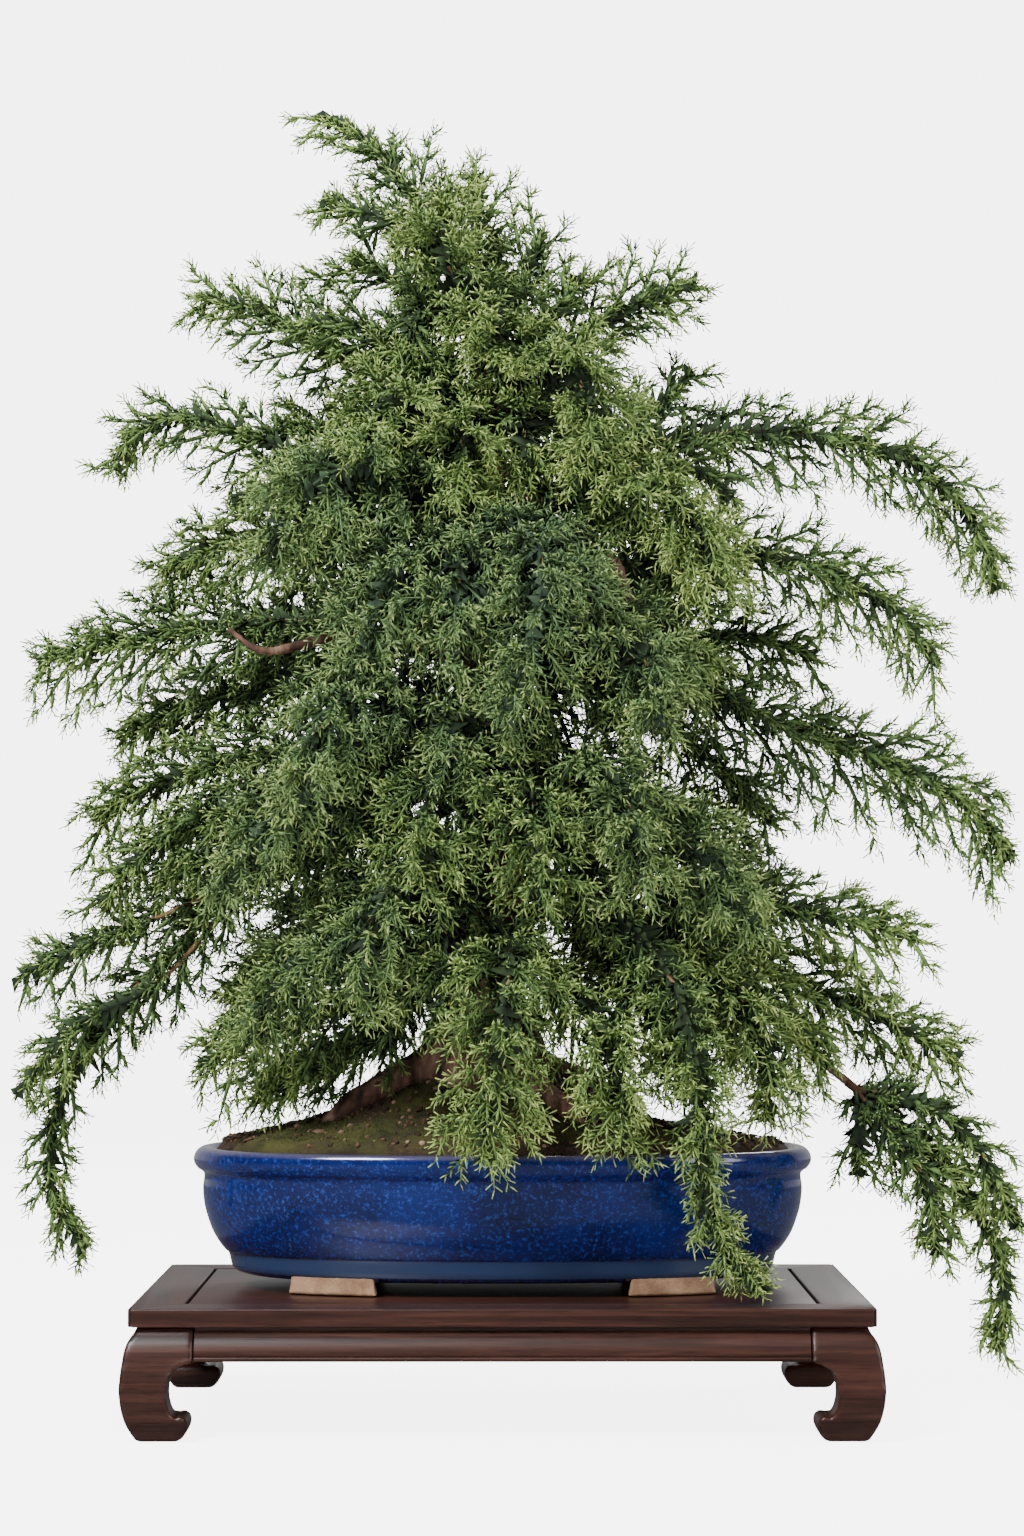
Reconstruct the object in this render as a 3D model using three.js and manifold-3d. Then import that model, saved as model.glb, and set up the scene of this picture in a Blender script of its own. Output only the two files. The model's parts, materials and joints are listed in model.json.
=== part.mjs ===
// Juniper bonsai in a glazed oval pot on a low wooden stand. Millimetres, +Z up, +Y to the back.
import * as THREE from "three";
import { mergeVertices } from "three/addons/utils/BufferGeometryUtils.js";
import Module from "manifold-3d";

const wasm = await Module();
wasm.setup();

const GAP = 0.3;

// Stand
const STAND_LENGTH = 526;
const STAND_DEPTH = 345;
const SLAB_TOP = 93.5;
const SLAB_THICKNESS = 13;
const SLAB_BOTTOM = SLAB_TOP - SLAB_THICKNESS;
const SLAB_CORNER = 4;
const SLAB_BEVEL = 1.5;
const RAIL_WIDTH = 37;
const PANEL_GROOVE_ENDS = 2.2;
const PANEL_GROOVE_SIDES = 0.8;
const PANEL_THICKNESS = 8.5;
const PANEL_LEDGE = 7;
const APRON_LOW = 57;
const APRON_BACK = 16;
const LEG_BLOCK = 46.6;
const LEG_REACH = 70;
const WEDGE_REACH = 400;

// Pot
const POT_SHIFT_Y = 3;
const POT_RIM_HALF = 230.5;
const POT_RIM_TOP = 197.5;
const POT_BASE = 105.5;
const POT_FLOOR = 116;
const OVAL_POWER = 2.3;
const OVAL_SEGMENTS = 32;
const DEPTH_RATIO_BASE = 0.51;
const DEPTH_RATIO_RIM = 0.585;
const FOOT_FROM = 93;
const FOOT_TO = 154;
const FOOT_DEPTH = 24;
const FOOT_OVAL = 196;
const FOOT_SPLAY = 5;
const FOOT_INSET_TOP = 5;
const FOOT_INSET_LOW = 9;
const FOOT_SINK = 3;
const DRAIN_RADIUS = 12;
const DRAIN_LENGTH = 40;
const DRAIN_SIDES = 10;
const DRAIN_X = 90;
const MESH_RADIUS = 18;
const MESH_THICKNESS = 1.2;

// Soil: its level at the rim and the mound round the trunk
const SOIL_GAP = 0.6;
const SOIL_EDGE = 193;
const SOIL_LEVEL = 199;
const SOIL_RINGS = [207, 180, 130, 86, 50];
const SOIL_BUMPS = 5;
const SOIL_RIM_DIP = 3;
const SOIL_RIM_BLEND = 12;
const SOIL_RIM_HALF = 214;
const MOUND_HEIGHT = 55;
const MOUND_START = 40;
const MOUND_REACH = 82;
const MOUND_DEPTH_SCALE = 1.5;
const MOUND_POWER = 1.5;

// Trunk, roots and bare wood
const TRUNK_X = -15;
const TRUNK_SIDES = 9;
const TRUNK_RELIEF = 0.22;
const ROOT_SIDES = 6;
const STUB_SIDES = 5;
const HOLE_GAP = 0.4;
const WOOD_START = 8;
const WOOD_TAPER = 0.7;
const WOOD_SIDES = 4;
const STEM_START = 3.4;
const SIDE_STEM_START = 2.4;
const STEM_END = 2;
const FORK_STEP = 8;

// Foliage: leafy twigs stand in four rows on each stem, above, left, below and right
const RING_SPACING = 25;
const WIDE_SPACING = 31;
const DENSE_REACH = 45;
const ROW_SHARES = [0.75, 1, 1, 1];
const LENGTH_SHARES = [0.82, 1.12];
const TWIG_SPREAD = 0.8;
const TWIG_LEAN = 0.6;
const TWIG_DROOP = 0.2;
const LEAST_TWIG = 6;
const LEAST_SPREAD = 0.66;
const ROOM_MARGIN = 1.6;
const TIP_LENGTH = 24;
const CORE_SWELL = 0.2;
const CORE_TAPER = 1.3;
const CORE_WIDTH = 0.8;
const CORE_HEIGHT = 0.6;

// Room round each twig: how far it keeps off wood, rim and stand, and the lengths and places tried
const WOOD_ROOM = 2;
const RIM_ROOM = 6;
const EDGE_ROOM = 4;
const STEM_SAMPLES = 18;
const LENGTH_TRIES = [1, 0.88, 0.76, 0.64, 0.52, 0.4, 0.28];
const PLACES_TRIED = [0.35, 0.6, 0.8, 1];

// Needles: a whorl on the neck of every few twigs and at every stem's tip
const NEEDLE_LENGTH = 7;
const NEEDLE_BAND = 4;
const NEEDLE_LEAN = 0.94;
const NEEDLE_TWIG_EVERY = 20;
const NECK_PLACE = 0.6;
const NECK_SHARE = 0.22;
const NECK_TAPER = 0.8;

const SEED = 4351;

const WELD = 1e-4;
const UP = new THREE.Vector3(0, 0, 1);

// A seeded source of even random numbers from 0 to 1
function makeRandom(seed) {
  let state = seed >>> 0;
  return () => {
    state = (Math.imul(state, 1664525) + 1013904223) >>> 0;
    return state / 4294967296;
  };
}

// A closed mesh from any geometry, with shared vertices merged and collapsed triangles left out
function closedMesh(geometry) {
  const bare = new THREE.BufferGeometry();
  bare.setAttribute("position", geometry.getAttribute("position"));
  bare.setIndex(geometry.getIndex());
  const merged = mergeVertices(bare, WELD);
  const corners = merged.getIndex().array;
  const kept = [];
  for (let k = 0; k < corners.length; k += 3) {
    const [a, b, c] = [corners[k], corners[k + 1], corners[k + 2]];
    if (a !== b && b !== c && c !== a) {
      kept.push(a, b, c);
    }
  }
  merged.setIndex(kept);
  return merged;
}

function toSolid(geometry) {
  const mesh = closedMesh(geometry);
  const vertProperties = new Float32Array(mesh.getAttribute("position").array);
  const triVerts = new Uint32Array(mesh.getIndex().array);
  return new wasm.Manifold(new wasm.Mesh({ numProp: 3, vertProperties, triVerts }));
}

function fromSolid(solid) {
  const mesh = solid.getMesh();
  const geometry = new THREE.BufferGeometry();
  geometry.setAttribute("position", new THREE.BufferAttribute(new Float32Array(mesh.vertProperties), 3));
  geometry.setIndex(new THREE.BufferAttribute(new Uint32Array(mesh.triVerts), 1));
  geometry.computeVertexNormals();
  return geometry;
}

function named(name, geometry, material) {
  const mesh = new THREE.Mesh(geometry, material);
  mesh.name = name;
  return mesh;
}

function finish(color, roughness, metalness = 0) {
  return new THREE.MeshStandardMaterial({ color, roughness, metalness, flatShading: true });
}

const rosewood = () => finish(0x4a2e27, 0.38);
const glaze = () => finish(0x17317c, 0.12);
const plasticMesh = () => finish(0x33352f, 0.8);
const earth = () => finish(0x4f3d22, 0.95);
const bark = () => finish(0x6b4a3a, 0.9);
const leaf = (warmth) => {
  const color = new THREE.Color().setHSL(0.3 - 0.06 * warmth, 0.38, 0.27 + 0.07 * warmth);
  return finish(color, 0.75);
};

// A box between two corners
function block(low, high) {
  const geometry = new THREE.BoxGeometry(high[0] - low[0], high[1] - low[1], high[2] - low[2]);
  geometry.translate((low[0] + high[0]) / 2, (low[1] + high[1]) / 2, (low[2] + high[2]) / 2);
  return geometry;
}

// A flat outline pushed along Z from one height to another
function prism(points, low, high) {
  const shape = new THREE.Shape(points.map(([x, y]) => new THREE.Vector2(x, y)));
  const geometry = new THREE.ExtrudeGeometry(shape, { depth: high - low, bevelEnabled: false });
  geometry.translate(0, 0, low);
  return geometry;
}

// A side view (outline across, outline height) pushed along X or along Y
function profileAlongX(points, from, to) {
  const geometry = prism(points, from, to);
  geometry.applyMatrix4(new THREE.Matrix4().set(0, 0, 1, 0, 1, 0, 0, 0, 0, 1, 0, 0, 0, 0, 0, 1));
  return geometry;
}

function profileAlongY(points, from, to) {
  const geometry = prism([...points].reverse(), from, to);
  geometry.applyMatrix4(new THREE.Matrix4().set(1, 0, 0, 0, 0, 0, 1, 0, 0, 1, 0, 0, 0, 0, 0, 1));
  return turnedInsideOut(geometry);
}

// The swap of Y and Z above mirrors the shape, so its triangles are turned round
function turnedInsideOut(geometry) {
  const plain = geometry.index ? geometry.toNonIndexed() : geometry;
  const position = plain.getAttribute("position");
  for (let k = 0; k < position.count; k += 3) {
    const second = [position.getX(k + 1), position.getY(k + 1), position.getZ(k + 1)];
    position.setXYZ(k + 1, position.getX(k + 2), position.getY(k + 2), position.getZ(k + 2));
    position.setXYZ(k + 2, ...second);
  }
  return plain;
}

// Stand: a mitred frame round a loose panel, four aprons and four curled legs

// Outer face of aprons and legs: how far it stands inside the slab's edge, at each height
const APRON_FACE = [
  [5.2, SLAB_BOTTOM],
  [5.6, 77.5],
  [2.2, 74],
  [-0.9, 69],
  [-2.6, 63],
  [-2.8, 60.4],
  [-3.8, 59.6],
  [-3.8, APRON_LOW + 0.4],
  [-3, APRON_LOW],
];
const LEG_OUTER = [
  [-4.6, 50],
  [-5.5, 42],
  [-5.6, 34],
  [-4.4, 24],
  [-1.8, 14],
  [2.2, 6],
  [5.9, 0],
];
const LEG_INNER = [
  [35, 0],
  [39.5, 4],
  [42.6, 11.6],
  [41, 17],
  [37, 19],
  [33.4, 17.4],
  [30.2, 21],
  [27.6, 34],
  [29.6, 45],
  [35, 52],
  [LEG_BLOCK, APRON_LOW],
];

function frameWithOpening() {
  const halfLength = STAND_LENGTH / 2;
  const halfDepth = STAND_DEPTH / 2;
  const shape = new THREE.Shape();
  shape.moveTo(-halfLength + SLAB_CORNER, -halfDepth);
  shape.lineTo(halfLength - SLAB_CORNER, -halfDepth);
  shape.quadraticCurveTo(halfLength, -halfDepth, halfLength, -halfDepth + SLAB_CORNER);
  shape.lineTo(halfLength, halfDepth - SLAB_CORNER);
  shape.quadraticCurveTo(halfLength, halfDepth, halfLength - SLAB_CORNER, halfDepth);
  shape.lineTo(-halfLength + SLAB_CORNER, halfDepth);
  shape.quadraticCurveTo(-halfLength, halfDepth, -halfLength, halfDepth - SLAB_CORNER);
  shape.lineTo(-halfLength, -halfDepth + SLAB_CORNER);
  shape.quadraticCurveTo(-halfLength, -halfDepth, -halfLength + SLAB_CORNER, -halfDepth);
  const slab = new THREE.ExtrudeGeometry(shape, {
    depth: SLAB_THICKNESS - 2 * SLAB_BEVEL,
    bevelThickness: SLAB_BEVEL,
    bevelSize: SLAB_BEVEL,
    bevelOffset: -SLAB_BEVEL,
    bevelSegments: 1,
    curveSegments: 2,
  });
  slab.translate(0, 0, SLAB_BOTTOM + SLAB_BEVEL);
  const inX = halfLength - RAIL_WIDTH;
  const inY = halfDepth - RAIL_WIDTH;
  const opening = toSolid(block([-inX, -inY, SLAB_TOP - PANEL_THICKNESS], [inX, inY, SLAB_TOP + 1]));
  const ledgeX = inX - PANEL_LEDGE;
  const ledgeY = inY - PANEL_LEDGE;
  const under = toSolid(block([-ledgeX, -ledgeY, SLAB_BOTTOM - 1], [ledgeX, ledgeY, SLAB_TOP]));
  return toSolid(slab).subtract(opening).subtract(under);
}

// The part of the frame between two mitres. The side is 0 to 3 quarter turns from the front.
function mitredRail(frame, side) {
  const far = WEDGE_REACH;
  const shiftX = STAND_LENGTH / 2 - STAND_DEPTH / 2;
  const cut = GAP / Math.SQRT2;
  const wedges = [
    [[-shiftX, -cut], [shiftX, -cut], [shiftX + far, -cut - far], [-shiftX - far, -cut - far]],
    [[shiftX + cut, 0], [shiftX + cut + far, -far], [shiftX + cut + far, far]],
    [[shiftX, cut], [-shiftX, cut], [-shiftX - far, cut + far], [shiftX + far, cut + far]],
    [[-shiftX - cut, 0], [-shiftX - cut - far, far], [-shiftX - cut - far, -far]],
  ];
  const wedge = prism(wedges[side], SLAB_BOTTOM - 2, SLAB_TOP + 2);
  return fromSolid(frame.intersect(toSolid(wedge)));
}

function panelGeometry() {
  const x = STAND_LENGTH / 2 - RAIL_WIDTH - PANEL_GROOVE_ENDS;
  const y = STAND_DEPTH / 2 - RAIL_WIDTH - PANEL_GROOVE_SIDES;
  return block([-x, -y, SLAB_TOP - PANEL_THICKNESS], [x, y, SLAB_TOP]);
}

// The front apron's section, outside face towards -Y
function apronSection(halfDepth) {
  const face = APRON_FACE.map(([inset, z]) => [-halfDepth + inset, z]);
  return [...face, [-halfDepth + APRON_BACK, APRON_LOW], [-halfDepth + APRON_BACK, SLAB_BOTTOM]];
}

function apronGeometry(side) {
  const lengthways = side % 2 === 0;
  const half = (lengthways ? STAND_LENGTH : STAND_DEPTH) / 2 - LEG_BLOCK - GAP;
  const section = apronSection((lengthways ? STAND_DEPTH : STAND_LENGTH) / 2);
  const geometry = profileAlongX(section, -half, half);
  geometry.rotateZ((side * Math.PI) / 2);
  return geometry;
}

function legGeometry(signX, signY) {
  const outline = [...APRON_FACE, ...LEG_OUTER, ...LEG_INNER, [LEG_BLOCK, SLAB_BOTTOM]];
  const across = profileAlongY(outline.map(([inset, z]) => [-STAND_LENGTH / 2 + inset, z]),
    -STAND_DEPTH / 2 - LEG_REACH, -STAND_DEPTH / 2 + LEG_REACH);
  const along = profileAlongX(outline.map(([inset, z]) => [-STAND_DEPTH / 2 + inset, z]),
    -STAND_LENGTH / 2 - LEG_REACH, -STAND_LENGTH / 2 + LEG_REACH);
  const leg = fromSolid(toSolid(across).intersect(toSolid(along)));
  leg.scale(-signX, -signY, 1);
  return signX * signY < 0 ? turnedInsideOut(leg) : leg;
}

function makeStand() {
  const stand = new THREE.Group();
  const frame = frameWithOpening();
  const sides = ["front", "right", "back", "left"];
  sides.forEach((side, turn) => {
    stand.add(named(`stand_rail_${side}`, mitredRail(frame, turn), rosewood()));
    stand.add(named(`stand_apron_${side}`, apronGeometry(turn), rosewood()));
  });
  stand.add(named("stand_panel", panelGeometry(), rosewood()));
  for (const [across, signX] of [["left", -1], ["right", 1]]) {
    for (const [depth, signY] of [["front", -1], ["back", 1]]) {
      stand.add(named(`stand_leg_${depth}_${across}`, legGeometry(signX, signY), rosewood()));
    }
  }
  return stand;
}

// Pot: a turned section stretched to an oval, narrower in depth at its base than at its rim

function depthRatio(z) {
  const share = (z - POT_BASE) / (POT_RIM_TOP - POT_BASE);
  return DEPTH_RATIO_BASE + (DEPTH_RATIO_RIM - DEPTH_RATIO_BASE) * share;
}

function ovalPoint(angle, half, z) {
  const power = 2 / OVAL_POWER;
  const c = Math.cos(angle);
  const s = Math.sin(angle);
  const x = half * Math.sign(c) * Math.abs(c) ** power;
  const y = half * depthRatio(z) * Math.sign(s) * Math.abs(s) ** power;
  return [x, y + POT_SHIFT_Y];
}

// How far out a point lies on the pot's oval at a height, 1 being the given half length
function ovalShare(x, y, half, z) {
  const across = Math.abs(x) / half;
  const deep = Math.abs(y - POT_SHIFT_Y) / (half * depthRatio(z));
  return (across ** OVAL_POWER + deep ** OVAL_POWER) ** (1 / OVAL_POWER);
}

// A lathe profile of (half length, height) points, turned round Z and stretched to the oval
function ovalLathe(profile, segments) {
  const geometry = new THREE.LatheGeometry(profile.map(([r, z]) => new THREE.Vector2(r, z)), segments);
  geometry.rotateX(Math.PI / 2);
  const position = geometry.getAttribute("position");
  for (let k = 0; k < position.count; k += 1) {
    const x = position.getX(k);
    const y = position.getY(k);
    const z = position.getZ(k);
    const step = (2 * Math.PI) / segments;
    const angle = Math.round(Math.atan2(y, x) / step) * step;
    const [ovalX, ovalY] = ovalPoint(angle, Math.hypot(x, y), z);
    position.setXYZ(k, ovalX, ovalY, z);
  }
  return geometry;
}

const POT_INSIDE = [
  [190, POT_FLOOR],
  [204, 132],
  [212, 162],
  [214.5, SOIL_EDGE],
];
const POT_OUTSIDE = [
  [197, POT_BASE],
  [201.5, 107.5],
  [203, 114],
  [212, 127],
  [219.5, 143],
  [223.5, 160],
  [222.5, 177],
  [227.5, 181.5],
  [POT_RIM_HALF, 187.5],
  [229, 194],
  [224, POT_RIM_TOP],
  [218.5, 196.8],
];

function footGeometry(signX, signY) {
  const top = POT_BASE + FOOT_SINK;
  const base = SLAB_TOP;
  const geometry = new THREE.BoxGeometry(1, 1, 1);
  const position = geometry.getAttribute("position");
  for (let k = 0; k < position.count; k += 1) {
    const high = position.getZ(k) > 0;
    const spread = high ? 0 : FOOT_SPLAY;
    const x = position.getX(k) > 0 ? FOOT_TO - spread : FOOT_FROM + spread;
    const angle = Math.acos((x / FOOT_OVAL) ** (OVAL_POWER / 2));
    const [, edge] = ovalPoint(angle, FOOT_OVAL, POT_BASE);
    const outer = edge - POT_SHIFT_Y - (high ? FOOT_INSET_TOP : FOOT_INSET_LOW);
    const y = position.getY(k) > 0 ? outer : outer - FOOT_DEPTH + 2 * spread;
    position.setXYZ(k, signX * x, signY * y + POT_SHIFT_Y, high ? top : base);
  }
  return signX * signY < 0 ? turnedInsideOut(geometry) : geometry;
}

function makePot() {
  const wall = [[0, POT_BASE], ...POT_OUTSIDE, ...[...POT_INSIDE].reverse(), [0, POT_FLOOR]];
  let pot = toSolid(ovalLathe(wall, OVAL_SEGMENTS));
  for (const signX of [-1, 1]) {
    for (const signY of [-1, 1]) {
      pot = pot.add(toSolid(footGeometry(signX, signY)));
    }
  }
  for (const side of [-1, 1]) {
    const drain = new THREE.CylinderGeometry(DRAIN_RADIUS, DRAIN_RADIUS, DRAIN_LENGTH, DRAIN_SIDES);
    drain.rotateX(Math.PI / 2);
    drain.translate(side * DRAIN_X, POT_SHIFT_Y, (POT_BASE + POT_FLOOR) / 2);
    pot = pot.subtract(toSolid(drain));
  }
  return named("pot", fromSolid(pot), glaze());
}

function meshDisc(side, radius, thickness) {
  const disc = new THREE.CylinderGeometry(radius, radius, thickness, DRAIN_SIDES);
  disc.rotateX(Math.PI / 2);
  disc.translate(side * DRAIN_X, POT_SHIFT_Y, POT_FLOOR + thickness / 2);
  return disc;
}

// Soil: fills the pot, rises to the trunk, and has a plain hole for the trunk and its roots

function soilHeight(x, y) {
  const away = Math.hypot(x - TRUNK_X, (y - POT_SHIFT_Y) * MOUND_DEPTH_SCALE);
  const rise = (Math.max(away - MOUND_START, 0) / MOUND_REACH) ** MOUND_POWER;
  return SOIL_LEVEL + MOUND_HEIGHT * Math.exp(-rise);
}

function makeSoil(hole) {
  const inside = POT_INSIDE.map(([half, z]) => [half - SOIL_GAP, Math.max(z, POT_FLOOR)]);
  const surface = SOIL_RINGS.map((half) => [half, POT_RIM_TOP]);
  const profile = [[0, POT_FLOOR], ...inside, ...surface, [0, POT_RIM_TOP]];
  const geometry = ovalLathe(profile, OVAL_SEGMENTS);
  const position = geometry.getAttribute("position");
  const random = makeRandom(SEED);
  const bumps = new Map();
  for (let k = 0; k < position.count; k += 1) {
    if (position.getZ(k) === POT_RIM_TOP) {
      const x = position.getX(k);
      const y = position.getY(k);
      const spot = `${x.toFixed(1)},${y.toFixed(1)}`;
      if (!bumps.has(spot)) {
        bumps.set(spot, (random() - 0.5) * SOIL_BUMPS);
      }
      const inset = 1 - ovalShare(x, y, SOIL_RIM_HALF, POT_RIM_TOP);
      const edge = Math.min(Math.max(inset * SOIL_RIM_BLEND, 0), 1);
      position.setZ(k, soilHeight(x, y) + bumps.get(spot) * edge - SOIL_RIM_DIP * (1 - edge));
    }
  }
  let soil = toSolid(geometry).subtract(hole);
  for (const side of [-1, 1]) {
    soil = soil.subtract(toSolid(meshDisc(side, MESH_RADIUS + GAP, 2 * MESH_THICKNESS + GAP)));
  }
  return soil;
}

// The largest body of a cut solid, without loose scraps
function largestBody(solid) {
  return solid.decompose().reduce((best, body) => (body.volume() > best.volume() ? body : best));
}

// Frames along a curve: the side stays level and turns only as the curve turns
function framesAlong(curve, shares) {
  const frames = [];
  let side = null;
  for (const share of shares) {
    const centre = curve.getPoint(share);
    const along = curve.getTangent(share).normalize();
    if (!side) {
      side = new THREE.Vector3().crossVectors(along, UP);
      if (side.length() < 0.25) {
        side.set(1, 0, 0);
      }
    }
    side = side.clone().addScaledVector(along, -side.dot(along)).normalize();
    const over = new THREE.Vector3().crossVectors(side, along);
    frames.push({ centre, along, side, over });
  }
  return frames;
}

// A tapering limb: a cylinder whose rings are moved onto a curve
function limb(curve, shares, sides, radiusAt, relief = 0, random = null) {
  const steps = shares.length - 1;
  const frames = framesAlong(curve, shares);
  const geometry = new THREE.CylinderGeometry(1, 1, 1, sides, steps);
  const ridges = Array.from({ length: sides }, () => (random ? random() - 0.5 : 0));
  const position = geometry.getAttribute("position");
  for (let k = 0; k < position.count; k += 1) {
    const ring = Math.round((position.getY(k) + 0.5) * steps);
    const { centre, side, over } = frames[ring];
    const a = position.getX(k);
    const b = position.getZ(k);
    const step = (2 * Math.PI) / sides;
    const ridge = Math.round((Math.atan2(b, a) + 2 * Math.PI) / step) % sides;
    const radius = radiusAt(shares[ring]) * (1 + relief * ridges[ridge]);
    const point = centre.clone().addScaledVector(side, a * radius).addScaledVector(over, b * radius);
    position.setXYZ(k, point.x, point.y, point.z);
  }
  return geometry;
}

function evenShares(from, to, steps) {
  return Array.from({ length: steps + 1 }, (_, k) => from + ((to - from) * k) / steps);
}

function curveThrough(points) {
  return new THREE.CatmullRomCurve3(points.map((p) => new THREE.Vector3(...p)), false, "centripetal");
}

// Trunk: (x, y, z, radius) from the root base up to the leader
const TRUNK = [
  [-15, 0, 212, 38],
  [-15, 0, 244, 50],
  [-15, 0, 268, 48],
  [-15, 0, 288, 40],
  [-15, 0, 312, 33],
  [-13, 3, 350, 28],
  [-8, 5, 410, 25],
  [-12, 0, 480, 22],
  [-20, -5, 550, 19],
  [-20, -3, 620, 16],
  [-12, 2, 690, 13],
  [-14, 3, 750, 10],
  [-21, 0, 806, 7],
  [-34, -2, 846, 5],
];
// Surface roots: route, then the radius at the trunk and at the end
const ROOTS = [
  { points: [[-40, -8, 262], [-72, -18, 250], [-104, -28, 234], [-132, -36, 214]], thick: 17, thin: 6 },
  { points: [[2, -22, 256], [26, -42, 242], [48, -60, 226], [62, -72, 206]], thick: 14, thin: 5 },
  { points: [[12, 10, 260], [46, 16, 250], [82, 26, 232], [108, 34, 212]], thick: 15, thin: 5 },
  { points: [[-24, 24, 258], [-36, 46, 246], [-52, 68, 228], [-60, 82, 206]], thick: 14, thin: 5 },
];
// Dead stubs and bare forks that carry no leaves
const STUBS = [
  {
    points: [[-20, -4, 590], [-70, -40, 578], [-130, -70, 572], [-176, -92, 562], [-200, -98, 578]],
    thick: 9,
    thin: 3,
  },
  {
    points: [[-10, 0, 640], [40, -22, 656], [78, -50, 638], [98, -58, 590], [112, -60, 540]],
    thick: 7,
    thin: 2.5,
  },
];

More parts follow.
